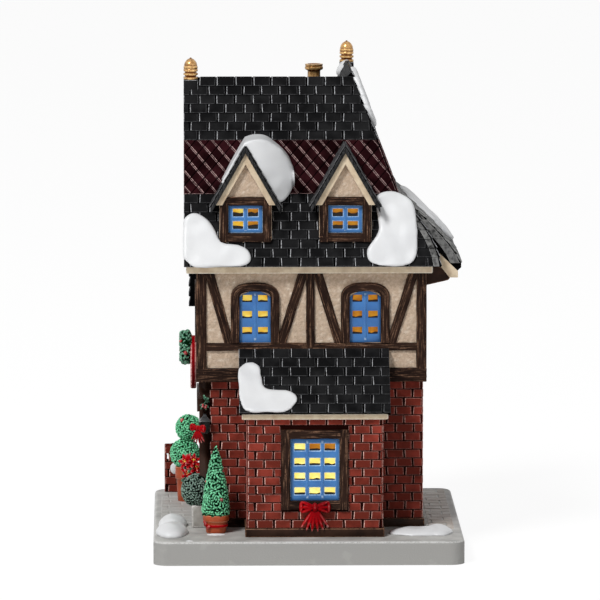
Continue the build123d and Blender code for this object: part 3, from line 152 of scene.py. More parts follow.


# %% [markdown]
# ## Paint
# The painter lays a body colour, lets a wash of a second colour settle in patches, then drags a
# nearly dry brush of a pale colour over the raised edges. One shader group does that for every paint on the
# house. It reads where an edge is worn from a value stored on the shapes, so the highlights sit on real
# edges. The same wash also lays painted shade in hollows, pits and creases, and the same brush lays painted
# highlights on ribs, lumps and the rings of the metal, wherever the shapes store them.

# %% Hand paint group
wash_starts = 0.36
wash_full = 0.66
bristles_per_mm = 1.1
bristle_starts = 0.34
bristle_full = 0.56
grit_per_mm = 1.6
hand_paint, given, result = group(
    "Hand paint", "ShaderNodeTree",
    {"Position": "Vector", "Wear and highlight": "Float", "Tint": "Float", "Body": "Color", "Wash": "Color",
     "Brush": "Color", "Patch": "Float", "Cover": "Float"},
    {"Color": "Color", "Height": "Float"})
patches = add(hand_paint, "ShaderNodeTexNoise",
              {"Vector": given["Position"], "Scale": given["Patch"], "Detail": 4.0})
washed = add(hand_paint, "ShaderNodeMapRange",
             {"Value": patches, "From Min": wash_starts, "From Max": wash_full})
# The tint adds the wash as random tone, and in pits and creases as painted shade.
wash_and_shade = maths(hand_paint, "ADD", washed, given["Tint"], use_clamp=True)
body = add(hand_paint, "ShaderNodeMix", {0: wash_and_shade, 1: given["Body"], 2: given["Wash"]}, data_type="RGBA")
bristles = add(hand_paint, "ShaderNodeTexNoise",
               {"Vector": given["Position"], "Scale": bristles_per_mm, "Detail": 5.0, "Roughness": 0.7})
broken = add(hand_paint, "ShaderNodeMapRange",
             {"Value": bristles, "From Min": bristle_starts, "From Max": bristle_full})
dragged = maths(hand_paint, "MULTIPLY", broken, given["Wear and highlight"])
covered = maths(hand_paint, "MULTIPLY", dragged, given["Cover"], use_clamp=True)
# The brush colour is dry brushing on worn edges and a painted highlight on ribs, lumps and metal rings.
brush_and_highlight = add(hand_paint, "ShaderNodeMix", {0: covered, 1: body, 2: given["Brush"]}, data_type="RGBA")
grit = add(hand_paint, "ShaderNodeTexNoise",
           {"Vector": given["Position"], "Scale": grit_per_mm, "Detail": 4.0})
hand_paint.links.new(out(brush_and_highlight), result["Color"])
hand_paint.links.new(out(grit), result["Height"])

# %% Paint maker
tooth_deep = 0.0003
coat_roughness = 0.2


def painted(name, body_code, wash_code, brush_code, roughness=0.5, patch=0.12, cover=0.8, bump=0.25, coat=0.0,
            shine=0.35):
    """Ceramic paint: the group above feeding a glazed surface with a slight tooth."""
    paint = bpy.data.materials.new(name)
    paint.use_nodes = True
    tree = paint.node_tree
    place = add(tree, "ShaderNodeTexCoord", {})
    position = add(tree, "ShaderNodeVectorMath", {0: place.outputs["Object"], "Scale": 1000.0},
                   operation="SCALE")
    # Stored values steer the paint: one marks worn edges and painted highlights, the tint marks random tone
    # and painted shade.
    worn = add(tree, "ShaderNodeAttribute", {}, attribute_name="worn", name="worn")
    tint = add(tree, "ShaderNodeAttribute", {}, attribute_name="tint")
    mix = add(tree, "ShaderNodeGroup", {
        "Position": position, "Wear and highlight": worn.outputs["Fac"], "Tint": tint.outputs["Fac"],
        "Body": colour(body_code), "Wash": colour(wash_code), "Brush": colour(brush_code),
        "Patch": patch, "Cover": cover}, node_tree=hand_paint, name="mix")
    tooth = add(tree, "ShaderNodeBump",
                {"Strength": bump, "Distance": tooth_deep, "Height": mix.outputs["Height"]})
    surface = tree.nodes["Principled BSDF"].inputs
    tree.links.new(mix.outputs["Color"], surface["Base Color"])
    tree.links.new(out(tooth), surface["Normal"])
    surface["Roughness"].default_value = roughness
    surface["Specular IOR Level"].default_value = shine
    surface["Coat Weight"].default_value = coat
    surface["Coat Roughness"].default_value = coat_roughness
    return paint


# %% [markdown]
# ## The colours on the house
# Each paint is three codes, for body, wash and brush. Then come its roughness and how closely the patches
# of wash follow each other. The finish runs from dry stucco to smooth gold.

# %% Paints
paints = {
    "gap": painted("gap_paint", "0b0b0c", "070708", "1c1c1e", 0.6, shine=0.0),
    "slate": painted("slate_paint", "252526", "131314", "b6b7ba", 0.5, cover=0.95, shine=0.01),
    "brushed": painted("brushed_slate", "232323", "7c7c7b", "b8b8b6", 0.5, 0.6, cover=0.9, shine=0.03),
    "mottled": painted("mottled_slate", "19191a", "39393a", "9c9d9f", 0.5, 0.75, cover=0.6, shine=0.03),
    "diamond": painted("diamond_paint", "34161a", "1a090b", "cba9a6", 0.45, cover=0.85, shine=0.0),
    "brick": painted("brick_paint", "983f33", "6a291f", "f2c6ba", 0.5, cover=0.95, shine=0.05),
    "mortar": painted("mortar_paint", "260d0a", "190806", "4a221d", 0.6, shine=0.0),
    # The stucco's wash is painted shade in the pits and its brush a painted highlight on the lumps.
    "stucco": painted("stucco_paint", "d0b9a2", "bda690", "efe3d3", 0.6, 0.9, bump=1.5, shine=0.1),
    "timber": painted("timber_paint", "3a261d", "20130d", "85614b", 0.45, shine=0.1),
    "cream": painted("cream_paint", "e4d2b6", "ccb598", "f7efe0", 0.5, 0.25, shine=0.1),
    "blue": painted("window_paint", "4480c0", "386cab", "c0def8", 0.38, 0.1, coat=0.1),
    # Painted shade for the lower part of each window hole.
    "shade": painted("hole_shade_paint", "17120f", "0f0b09", "2a211b", 0.6),
    # On the dabs of snow the wash is faint painted shade in the creases.
    "snow": painted("snow_paint", "e4e5e6", "dcdddf", "f4f4f4", 0.42, 0.05, bump=0.05, coat=0.1),
    # The slab's wash is painted shade on its sides.
    "slab": painted("slab_paint", "c2c1bd", "a1a09d", "d2d2d0", 0.5, 0.09, bump=0.3, shine=0.2),
    "pavement": painted("pavement_paint", "bfbebb", "aeaca8", "dededc", 0.5, 0.06, bump=0.3, shine=0.2),
    "flag": painted("flag_paint", "d2cec7", "a3978c", "e6e4e0", 0.5, 0.13, bump=0.3),
    "stone": painted("stone_paint", "b4b1ab", "8f8a83", "dad8d4", 0.55, 0.2),
    "terracotta": painted("terracotta_paint", "b8552f", "94401f", "e09a74", 0.45, 0.2),
    # On the metal the brush is a painted reflection on the bulges, and the wash a dark painted reflection in
    # the grooves.
    "copper": painted("copper_paint", "cf9148", "7a4613", "f6cf8e", 0.28, 0.02, bump=0.1, coat=0.3),
    "iron": painted("iron_paint", "17181a", "0d0d0e", "8b8e94", 0.35, coat=0.2),
    # The ribbon's brush is a painted highlight on its ribs, and its wash painted shade in its creases.
    "ribbon": painted("ribbon_paint", "cf0512", "460206", "ffc4be", 0.3, 0.02, cover=0.75, bump=0.05,
                      shine=0.04),
    # The berry's brush is a painted highlight on top of each berry.
    "berry": painted("berry_paint", "b3141a", "7c0d10", "f3b0a8", 0.3, coat=0.4),
    # On the flower hearts the wash is painted shade in the creases.
    "heart": painted("film_paint", "f6c846", "e8930f", "fff2a8", 0.4, 0.05, bump=0.0),
    # The leaf wash is painted shade at the base of each tuft; the brush is dry brushing on the tips.
    "leaf": painted("leaf_paint", "1f8a50", "053a1e", "93f2bd", 0.4, 0.02, cover=1.0, shine=0.05),
    "leaf_core": painted("leaf_core_paint", "04240f", "02160a", "0f5a33", 0.6, 0.3, shine=0.0),
    # The box wash is painted shade at the base of each tuft; the brush is dry brushing on the tips.
    "box": painted("box_paint", "163a26", "081a11", "b9d6c7", 0.42, 0.02, cover=0.65, shine=0.05),
    "box_core": painted("box_core_paint", "060f0a", "030806", "12301f", 0.6, 0.3, shine=0.0),
    # The holly's wash is painted shade in the creases of the pinched leaves.
    "holly": painted("holly_paint", "155438", "0c3724", "7fc7a0", 0.4, 0.3, coat=0.3),
    "tray": painted("tray_plastic", "1d1d1f", "19191b", "3a3a3d", 0.55, bump=0.1),
    "steel": painted("spring_plate", "a9abad", "96989a", "d8d8d8", 0.3, bump=0.05),
    "wrap": painted("cell_sleeve", "2f4f3a", "2a4734", "88a090", 0.3, bump=0.0),
    "board": painted("board_lacquer", "1f6b3b", "1a5c32", "77b58c", 0.4, bump=0.0),
    "lens": painted("lens_resin", "f3ead0", "efe4c4", "ffffff", 0.15, bump=0.0),
    "wire": painted("wire_sleeve", "b3201f", "a01c1b", "d86a66", 0.4, bump=0.0),
}
metal_share = 0.6
for label in ("copper", "steel"):
    paints[label].node_tree.nodes["Principled BSDF"].inputs["Metallic"].default_value = metal_share


# %% Paints with a twist
streak_scale = (2.1, 0.11, 1.0)


def grained(name, *codes):
    """Timber paint with pale streaks along the stored grain."""
    paint = painted(name, *codes, roughness=0.45, cover=0.95, shine=0.06)
    tree = paint.node_tree
    grain = add(tree, "ShaderNodeAttribute", {}, attribute_name="grain")
    stretched = add(tree, "ShaderNodeVectorMath", {0: grain.outputs["Vector"], 1: streak_scale},
                    operation="MULTIPLY")
    streaks = add(tree, "ShaderNodeTexNoise", {"Vector": stretched, "Scale": 1.0, "Detail": 3.0})
    pale = add(tree, "ShaderNodeMapRange",
               {"Value": streaks, "From Min": 0.52, "From Max": 0.7, "To Max": 0.85})
    either = maths(tree, "MAXIMUM", pale, tree.nodes["worn"].outputs["Fac"])
    tree.links.new(out(either), tree.nodes["mix"].inputs["Wear and highlight"])
    return paint


def lit(name, body_code, wash_code, glow):
    """Film with a lamp behind it."""
    paint = painted(name, body_code, wash_code, wash_code, 0.4, 0.25, bump=0.0)
    tree = paint.node_tree
    surface = tree.nodes["Principled BSDF"].inputs
    tree.links.new(tree.nodes["mix"].outputs["Color"], surface["Emission Color"])
    surface["Emission Strength"].default_value = glow
    return paint


paints["grain"] = grained("grain_paint", "2f1f18", "190e0a", "96725b")
films = {
    "yellow": lit("film_yellow", "ffe066", "f8b82a", 0.5),
    "orange": lit("film_orange", "eda01c", "cf7a0c", 0.3),
    "pale": lit("film_pale", "fff29a", "ffe06c", 0.75),
}
print(len(paints) + len(films), "paints")

# %% [markdown]
# ## Stage and light
# A white sweep, an even sky of light, and one large soft lamp high on the left, as in the picture, where
# the wall to the right of the lean-to lies in shade. A weak card on the right keeps that shade from going
# black.

# %% Stage
white = (1, 1, 1, 1)
floor_half = 6.0
floor_gap = 0.0001
floor_glow = 1.05
glow_share = 0.88
floor_mesh = bpy.data.meshes.new("sweep")
floor_corners = [(floor_half * x, floor_half * y, 0) for x, y in ((-1, -1), (1, -1), (1, 1), (-1, 1))]
floor_mesh.from_pydata(floor_corners, [], [(0, 1, 2, 3)])
floor = bpy.data.objects.new("sweep", floor_mesh)
floor.location.z = cad_low.z - floor_gap
scene.collection.objects.link(floor)
floor_paint = bpy.data.materials.new("sweep_white")
floor_paint.use_nodes = True
floor_tree = floor_paint.node_tree
matte = floor_tree.nodes["Principled BSDF"]
matte.inputs["Base Color"].default_value = white
matte.inputs["Roughness"].default_value = 1.0
glow = add(floor_tree, "ShaderNodeEmission", {"Color": white, "Strength": floor_glow})
ray = add(floor_tree, "ShaderNodeLightPath", {})
seen = maths(floor_tree, "MULTIPLY", ray.outputs["Is Camera Ray"], glow_share)
shown = add(floor_tree, "ShaderNodeMixShader", {0: seen, 1: matte, 2: glow})
floor_tree.links.new(out(shown), floor_tree.nodes["Material Output"].inputs["Surface"])
floor_mesh.materials.append(floor_paint)

# %% Sky and lamps
sky_light = 0.2
sky_seen = 1.0
world = bpy.data.worlds.new("studio")
world.use_nodes = True
scene.world = world
sky = world.node_tree
ray = add(sky, "ShaderNodeLightPath", {})
direct = maths(sky, "MAXIMUM", ray.outputs["Is Camera Ray"], ray.outputs["Is Glossy Ray"])
direct = maths(sky, "MAXIMUM", direct, ray.outputs["Is Transmission Ray"])
level = add(sky, "ShaderNodeMapRange", {"Value": direct, "To Min": sky_light, "To Max": sky_seen})
sky.nodes["Background"].inputs["Color"].default_value = white
sky.links.new(out(level), sky.nodes["Background"].inputs["Strength"])


def lamp(name, place, size, power):
    light = bpy.data.lights.new(name, "AREA")
    light.size = size
    light.energy = power
    holder = bpy.data.objects.new(name, light)
    holder.location = place
    holder.rotation_euler = (Vector(place) - aim).to_track_quat("Z", "Y").to_euler()
    scene.collection.objects.link(holder)
    return holder


key = lamp("key_softbox", (-1.0, -1.5, 2.0), 0.6, 52.0)
fill = lamp("fill_card", (1.4, -1.6, 0.6), 1.0, 2.5)

# %% [markdown]
# ## From shapes to pieces
# Shapes are drawn in millimetres, run through modifiers or a node tree, and turned into plain meshes. A
# finished mesh becomes a piece: it gets its paint, rides on one of the bodies, and may stand in for a
# casting.


# %% Mesh helpers
def drawn(name, points, faces):
    mesh = bpy.data.meshes.new(name)
    mesh.from_pydata(points, [], faces)
    return mesh


def store(mesh, name, values, kind="FLOAT", domain="POINT"):
    """Stores one value for each point or face, for the paint to read."""
    layer = mesh.attributes.new(name, kind, domain)
    layer.data.foreach_set("vector" if kind == "FLOAT_VECTOR" else "value", values)


def clamped(value):
    return min(1.0, max(0.0, value))


def held(mesh):
    holder = bpy.data.objects.new("holder", mesh)
    scene.collection.objects.link(holder)
    return holder


def finished(holder):
    """The plain mesh that an object's modifiers make. The object and the mesh it held are thrown away."""
    made = bpy.data.meshes.new_from_object(holder.evaluated_get(bpy.context.evaluated_depsgraph_get()))
    rough = holder.data
    bpy.data.objects.remove(holder)
    bpy.data.meshes.remove(rough)
    return made


def modified(mesh, *steps):
    """Runs modifiers, given as (kind, options), on a mesh."""
    holder = held(mesh)
    for kind, options in steps:
        modifier = holder.modifiers.new(kind.lower(), kind)
        for key, value in options.items():
            setattr(modifier, key, value)
    return finished(holder)


def grown(mesh, tree, settings):
    """Runs a geometry tree on a mesh."""
    holder = held(mesh)
    modifier = holder.modifiers.new("tree", "NODES")
    modifier.node_group = tree
    for item in tree.interface.items_tree:
        if item.in_out == "INPUT" and item.name in settings:
            modifier[item.identifier] = settings[item.name]
    return finished(holder)


def joined(meshes):
    """One mesh from several, keeping their stored values and their paints."""
    whole = bmesh.new()
    coats = []
    for mesh in meshes:
        laid = len(whole.faces)
        whole.from_mesh(mesh)
        whole.faces.ensure_lookup_table()
        coat = mesh.materials[mesh.polygons[0].material_index] if mesh.materials else None
        if coat not in coats:
            coats.append(coat)
        for face in whole.faces[laid:]:
            face.material_index = coats.index(coat)
    first = meshes[0]
    first.materials.clear()
    for coat in coats:
        first.materials.append(coat)
    whole.to_mesh(first)
    whole.free()
    for mesh in meshes[1:]:
        bpy.data.meshes.remove(mesh)
    return first


def piece(name, mesh, paint=None, stands_for=(), body="house", smooth=None):
    """Brings a mesh drawn in millimetres into the scene, puts it on the body it rides on and hides the
    castings it replaces.
    """
    mesh.transform(Matrix.Scale(0.001, 4))
    mesh.name = name
    if paint:
        mesh.materials.clear()
        mesh.materials.append(paint)
    if smooth:
        mesh.shade_smooth()
        mesh.set_sharp_from_angle(angle=math.radians(smooth))
    thing = bpy.data.objects.new(name, mesh)
    scene.collection.objects.link(thing)
    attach(thing, body)
    if stands_for:
        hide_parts(*stands_for)
    print(name, len(mesh.polygons), "faces")
    return thing


# %% [markdown]
# ## From cells to slates and bricks
# Roofs, walls and bands are all laid the same way: a rule cuts a surface into flat cells, and one Geometry
# Nodes tree turns each cell into a small plate with a chamfered rim. The tree also stores how worn each rim
# is, strongest on the sides that face along a chosen direction, and a random tint for each plate.

# %% Plate tree
side_starts = 0.25
side_full = 0.45
weld_reach = 0.001
plates, given, result = group(
    "Raise plates", "GeometryNodeTree",
    {"Geometry": "Geometry", "Thickness": "Float", "Unevenness": "Float", "Chamfer": "Float",
     "Crown": "Float", "Brush along": "Vector", "Opposite side": "Float", "Other sides": "Float",
     "Tint": "Float", "Seed": "Int", "Material": "Material"},
    {"Geometry": "Geometry"})
chance = add(plates, "FunctionNodeRandomValue", {"Seed": given["Seed"]})
tint = maths(plates, "MULTIPLY", chance, given["Tint"])
tinted = add(plates, "GeometryNodeStoreNamedAttribute",
             {"Geometry": given["Geometry"], "Name": "tint", "Value": tint}, data_type="FLOAT", domain="FACE")
uneven = maths(plates, "MULTIPLY", chance, given["Unevenness"])
depth = maths(plates, "ADD", uneven, given["Thickness"])
walls = add(plates, "GeometryNodeExtrudeMesh",
            {"Mesh": tinted, "Offset Scale": depth, "Individual": True}, mode="FACES")
rim = add(plates, "GeometryNodeExtrudeMesh",
          {"Mesh": walls.outputs["Mesh"], "Selection": walls.outputs["Top"], "Offset Scale": given["Chamfer"],
           "Individual": True}, mode="FACES")
crowned = add(plates, "GeometryNodeScaleElements",
              {"Geometry": rim.outputs["Mesh"], "Selection": rim.outputs["Top"], "Scale": given["Crown"]},
              domain="FACE")
normal = add(plates, "GeometryNodeInputNormal", {})
facing = add(plates, "ShaderNodeVectorMath", {0: normal, 1: given["Brush along"]}, operation="DOT_PRODUCT")
behind = maths(plates, "MULTIPLY", given["Opposite side"], -1.0)
behind = maths(plates, "MULTIPLY", facing, behind)
stronger = maths(plates, "MAXIMUM", facing, behind)
share = add(plates, "ShaderNodeMapRange",
            {"Value": stronger, "From Min": side_starts, "From Max": side_full,
             "To Min": given["Other sides"], "To Max": 1.0})
worn = add(plates, "GeometryNodeStoreNamedAttribute",
           {"Geometry": crowned, "Selection": rim.outputs["Side"], "Name": "worn", "Value": share},
           data_type="FLOAT", domain="FACE")
backs = add(plates, "GeometryNodeFlipFaces", {"Mesh": tinted})
whole = add(plates, "GeometryNodeJoinGeometry", {0: worn})
plates.links.new(out(backs), whole.inputs[0])
welded = add(plates, "GeometryNodeMergeByDistance", {"Geometry": whole, "Distance": weld_reach})
coated = add(plates, "GeometryNodeSetMaterial", {"Geometry": welded, "Material": given["Material"]})
plates.links.new(out(coated), result["Geometry"])


def raised(cells, paint, thickness, chamfer, brush_along=(0, 0, 0), unevenness=0.1, crown=0.93, other=0.15,
           tint=0.4, opposite=0.3, seed=1):
    """Mesh of plates from flat cells, each a list of corners."""
    points = [point for cell in cells for point in cell]
    places = iter(range(len(points)))
    flat = drawn("cells", points, [[next(places) for corner in cell] for cell in cells])
    return grown(flat, plates, {
        "Thickness": thickness, "Chamfer": chamfer, "Crown": crown, "Brush along": brush_along,
        "Opposite side": opposite, "Unevenness": unevenness, "Other sides": other, "Tint": tint, "Seed": seed,
        "Material": paint})


# %% [markdown]
# ## The roof's rule
# Both ridges step down in equal courses. The wing is steep and straight. The main block's rear slope kicks
# out in a curve below a knee, and its near corner is hipped. One function per slope says how far out from
# its ridge the roof is at a height, and the courses, hips and valley all follow from that.

# %% Roof sizes
roof_low, roof_high = box("roof_shell")
upper_low, upper_high = box("upper_storey_walls")
slate_lip = 0.7
slate_step = 0.02
courses = 21
band_first = 7
band_last = 13
wing_ridge_y = -9.3
main_ridge_x = 18.5
ridge_drop = 1.6
kick_run = 18.6
verge_run = 35.7
verge_curve = 1.6
flare_curve = 1.3
flare_near_y = -30.5
flare_far_y = 21.5
eave_z = upper_high.z
main_ridge_z = roof_high.z
ridge_z = main_ridge_z - ridge_drop
front_verge_x = roof_low.x
far_verge_y = roof_high.y
wing_run = wing_ridge_y - roof_low.y - slate_lip
flare_run = roof_high.x - slate_lip - main_ridge_x


# %% Rules of the slopes
def steps_down(top, foot, count):
    """Heights of the lines between equal courses, from the top down."""
    return [top - (top - foot) / count * index for index in range(count + 1)]


def straight_slope(top, foot, run):
    return lambda z: (top - z) * run / (top - foot)


def kicked_slope(eave_run, curve):
    """The main block's rear slope, which bends out below the knee."""
    def reach(z):
        if z >= knee_z:
            return main_reach(z)
        share = (knee_z - z) / (knee_z - eave_z)
        return kick_run + (eave_run - kick_run) * (1 - (1 - share) ** curve)
    return reach


levels = steps_down(ridge_z, eave_z, courses)
knee_z = levels[band_last]
wing_reach = straight_slope(ridge_z, eave_z, wing_run)
main_reach = straight_slope(main_ridge_z, knee_z, kick_run)
hip_reach = kicked_slope(verge_run, verge_curve)
flare_reach = kicked_slope(flare_run, flare_curve)

# %% [markdown]
# ## Courses
# A course is a strip with a foot and a head. Slates are cut from it side by side, each a little different
# in width, the joints of one course over the middles of the next. The ends are clipped along the hip or
# valley.

# %% Course helpers
joint_wander = 0.05
joint_lean = 0.4
smallest_cell = 0.6


def between(ends, t):
    return ends[0] + (ends[1] - ends[0]) * t


def clipped(cell, inside):
    """The part of a flat cell where inside() is above zero."""
    kept = []
    for one, two in zip(cell, cell[1:] + cell[:1]):
        here = inside(one)
        there = inside(two)
        if here >= 0:
            kept.append(one)
        if here * there < 0:
            share = here / (here - there)
            kept.append((one[0] + (two[0] - one[0]) * share, one[1] + (two[1] - one[1]) * share))
    return kept


def trimmed(cell, left, right):
    """Cell clipped to a strip whose ends are given at its foot and head."""
    cell = clipped(cell, lambda p: p[0] - between(left, p[1]))
    cell = clipped(cell, lambda p: between(right, p[1]) - p[0])
    wide = max((p[0] for p in cell), default=0) - min((p[0] for p in cell), default=0)
    return cell if len(cell) > 2 and wide > smallest_cell else None


def course(left, right, width, gap, row, dice):
    """Cells of one course in (distance along it, share of its height), joints over the middles below."""
    first = math.floor(min(left) / width) - 1
    last = math.ceil(max(right) / width) + 1
    joints = [(index + 0.5 * (row % 2)) * width + dice.uniform(-joint_wander, joint_wander) * width
              for index in range(first, last)]
    cells = []
    for start, end in zip(joints, joints[1:]):
        lean = dice.uniform(-joint_lean, joint_lean) * gap
        cell = [(start + gap / 2, 0.0), (end - gap / 2, 0.0), (end - gap / 2 + lean, 1.0),
                (start + gap / 2 + lean, 1.0)]
        cells.append(trimmed(cell, left, right))
    return [cell for cell in cells if cell]


slate_wide = 7.5


def slope(rule, heights, width=slate_wide, gap=0.7, lip=slate_lip, seed=3):
    """Cells of a slope. Its rule is (reach, turn, low side, high side): turn(along, out, z) places a point,
    and the sides give the slope's ends at a height."""
    reach, turn, low_side, high_side = rule
    dice = random.Random(seed)
    cells = []
    for row, (head_z, foot_z) in enumerate(zip(heights, heights[1:])):
        outs = (reach(foot_z) + lip, reach(head_z) + slate_step)
        left = (low_side(foot_z), low_side(head_z))
        right = (high_side(foot_z), high_side(head_z))
        for cell in course(left, right, width, gap, row, dice):
            cells.append([turn(u, between(outs, t), between((foot_z, head_z), t)) for u, t in cell])
    return cells


# %% Sides of the big roof
def near_side(u, reach, z):
    return Vector((u, wing_ridge_y - reach, z))


def wing_far_side(u, reach, z):
    return Vector((-u, wing_ridge_y + reach, z))


def main_front_side(u, reach, z):
    return Vector((main_ridge_x - reach, -u, z))


def main_rear_side(u, reach, z):
    return Vector((main_ridge_x + reach, u, z))


def near_eave_y(z):
    return wing_ridge_y - wing_reach(z)


def hip_y(z):
    return max(near_eave_y(z), flare_near_y)


def near_verge_x(z):
    return main_ridge_x + hip_reach(z)


def always(value):
    return lambda z: value


slopes = {
    "near": (wing_reach, near_side, always(front_verge_x), near_verge_x),
    "wing_far": (wing_reach, wing_far_side, lambda z: main_reach(z) - main_ridge_x, always(-front_verge_x)),
    "main_front": (main_reach, main_front_side, always(-far_verge_y),
                   lambda z: -wing_ridge_y - wing_reach(z)),
    "main_rear": (main_reach, main_rear_side, hip_y, always(far_verge_y)),
}

# %% [markdown]
# ## Slates on the big roof
# The courses above the band are laid on all four slopes. Below it the near verge and the flare are painted
# a brushed grey, so those strips are laid on their own, and the flare's cut end gets slates of its own.

# %% Slates
verge_wide = 2.4
whole_course = 400.0
hip_slate_wide = 5.0
flare_end_wide = 3.8
upper_levels = levels[:band_first + 1]
lower_levels = levels[band_last:]
hip_levels = [z for z in levels if near_eave_y(z) < flare_near_y - 0.2]


def verge_start_x(z):
    return near_verge_x(z) - verge_wide


to_lay = [
    (slopes["near"], upper_levels, slate_wide, "slate"),
    (slopes["wing_far"], upper_levels, slate_wide, "slate"),
    (slopes["main_front"], [main_ridge_z] + upper_levels, slate_wide, "slate"),
    (slopes["main_rear"], [main_ridge_z] + upper_levels, slate_wide, "slate"),
    (slopes["wing_far"], lower_levels, slate_wide, "slate"),
    (slopes["main_front"], lower_levels, slate_wide, "slate"),
    ((wing_reach, near_side, always(front_verge_x), verge_start_x), lower_levels, slate_wide, "slate"),
    ((wing_reach, near_side, verge_start_x, near_verge_x), lower_levels, whole_course, "brushed"),
    ((flare_reach, main_rear_side, hip_y, always(flare_far_y)), lower_levels, slate_wide, "brushed"),
    ((main_reach, main_rear_side, always(flare_far_y), always(far_verge_y)), lower_levels, slate_wide,
     "slate"),
    ((hip_reach, main_rear_side, near_eave_y, always(flare_near_y)), hip_levels, hip_slate_wide, "slate"),
]
slate_sheets = []
for number, (rule, heights, width, label) in enumerate(to_lay):
    turn = rule[1]
    cells = slope(rule, heights, width, seed=10 + number)
    left_edges = turn(0, 0, 0) - turn(1, 0, 0)
    slate_sheets.append(raised(cells, paints[label], 0.28, 0.2, left_edges, unevenness=0.16, crown=0.91,
                               seed=number))
end_cells = []
for top, foot in zip(lower_levels, lower_levels[1:]):
    foot_rim, top_rim = [main_ridge_x + flare_reach(z) for z in (foot, top)]
    foot_in = max(near_verge_x(foot), foot_rim - flare_end_wide)
    top_in = max(near_verge_x(top), top_rim - flare_end_wide)
    corners = ((foot_in, foot), (foot_rim, foot), (top_rim, top), (top_in, top))
    end_cells.append([Vector((x, flare_near_y, z)) for x, z in corners])
slate_sheets.append(raised(end_cells, paints["brushed"], 0.3, 0.2, along_x, unevenness=0.4, crown=0.91,
                           other=0.4))
piece("roof_slates", joined(slate_sheets))

# %% [markdown]
# ## The diamond band
# Between the black courses runs a band of small red-brown tiles set on their points. The lattice is simply
# two rows shifted by half a tile. The brush was drawn one way, so only one pair of edges on each tile is
# pale.

# %% Diamond tiles
diamond_wide = 5.6
diamond_tall = 6.9
diamond_share = 0.93
band_lift = 0.45
band_edge = 0.1
band_top_z = levels[band_first]
band_zs = (knee_z, band_top_z)
half_wide = diamond_wide / 2 * diamond_share
half_tall = diamond_tall / 2 * diamond_share


def diamonds(rule):
    reach_of, turn, low_side, high_side = rule
    outs = [reach_of(z) for z in band_zs]
    left = [low_side(z) for z in band_zs]
    right = [high_side(z) for z in band_zs]
    tall = math.hypot(band_top_z - knee_z, outs[0] - outs[1])
    cells = []
    for row in range(-1, int(2 * tall / diamond_tall) + 3):
        middle_v = row * diamond_tall / 2
        middle_u = min(left) - diamond_wide + (row % 2) * diamond_wide / 2
        while middle_u < max(right) + diamond_wide:
            cell = [(middle_u - half_wide, middle_v), (middle_u, middle_v - half_tall),
                    (middle_u + half_wide, middle_v), (middle_u, middle_v + half_tall)]
            cell = clipped(cell, lambda p: p[1] - band_edge)
            cell = clipped(cell, lambda p: tall - band_edge - p[1])
            cell = trimmed([(u, v / tall) for u, v in cell], left, right)
            if cell:
                cells.append([turn(u, between(outs, t) + band_lift, between(band_zs, t)) for u, t in cell])
            middle_u += diamond_wide
    across = (turn(1, 0, 0) - turn(0, 0, 0)).normalized()
    rising = (turn(0, outs[1], band_top_z) - turn(0, outs[0], knee_z)).normalized()
    brush_way = (across * diamond_tall + rising * diamond_wide).normalized()
    return raised(cells, paints["diamond"], 0.25, 0.16, brush_way, crown=0.86, other=0.0, opposite=1.0)


piece("diamond_band", joined([diamonds(rule) for rule in slopes.values()]))

# %% [markdown]
# ## Slates on the small roofs
# The lean-to, the two dormers and the skirt on the front gable follow the same rule with their own ridge
# lines. The dormer courses stop where they run into the big slope, and their front edge shows the slates'
# ends.

# %% Lean-to slates
lean_low, lean_high = box("lean_to_roof")
lean_eave_z = 62.0
lean_courses = 7
lean_run = lean_high.y - lean_low.y - slate_lip
lean_rule = (straight_slope(lean_high.z, lean_eave_z, lean_run),
             lambda u, reach, z: Vector((u, lean_high.y - reach, z)), always(lean_low.x), always(lean_high.x))
cells = slope(lean_rule, steps_down(lean_high.z, lean_eave_z, lean_courses), seed=5)
small_sheets = [raised(cells, paints["slate"], 0.28, 0.14, -along_x, unevenness=0.16)]

# %% Dormer slates
dormer_low, dormer_high = box("dormer_roofs")
dormer_body_low, dormer_body_high = box("dormers")
dormer_half = 10.8
dormer_lip = slate_lip / 2
dormer_courses = 7
dormer_slate_wide = 5.4
dormer_gap = 0.5
verge_tiles = 9
verge_deep = 2.3
verge_down = 0.3
verge_shares = (0.06, 0.94)
dormer_xs = (dormer_body_low.x + dormer_half, dormer_body_high.x - dormer_half)
dormer_run = dormer_xs[0] - dormer_low.x - dormer_lip
dormer_slope = (dormer_high.z - dormer_low.z) / dormer_run
dormer_levels = steps_down(dormer_high.z, dormer_low.z, dormer_courses)
dormer_reach = straight_slope(dormer_high.z, dormer_low.z, dormer_run)


def big_slope_y(z):
    return near_eave_y(z) - slate_lip


def dormer_cells(x, side, seed):
    """One slope of the dormer roof at x, on its right (1) or left (-1) side."""
    ends = [always(side * dormer_low.y), lambda z: side * big_slope_y(z)][::side]
    rule = (dormer_reach, lambda u, reach, z: Vector((x + side * reach, side * u, z)), *ends)
    return slope(rule, dormer_levels, dormer_slate_wide, dormer_gap, dormer_lip, seed)


def verge_cells(x, side):
    """Slate ends along the front edge of a dormer roof."""
    cells = []
    for index in range(verge_tiles):
        ends = [(index + share) / verge_tiles * dormer_run for share in verge_shares]
        top = [Vector((x + side * end, dormer_low.y, dormer_high.z - end * dormer_slope - verge_down))
               for end in ends]
        foot = [corner - up * verge_deep for corner in top]
        cell = [foot[0], foot[1], top[1], top[0]]
        cells.append(cell if side > 0 else cell[::-1])
    return cells


for number, x in enumerate(dormer_xs):
    cells = dormer_cells(x, 1, 20 + number) + dormer_cells(x, -1, 30 + number)
    small_sheets.append(raised(cells, paints["mottled"], 0.24, 0.14, near, unevenness=0.12, other=0.7))
    cells = verge_cells(x, -1) + verge_cells(x, 1)
    small_sheets.append(raised(cells, paints["mottled"], 0.3, 0.2, up, unevenness=0.3, other=0.25))

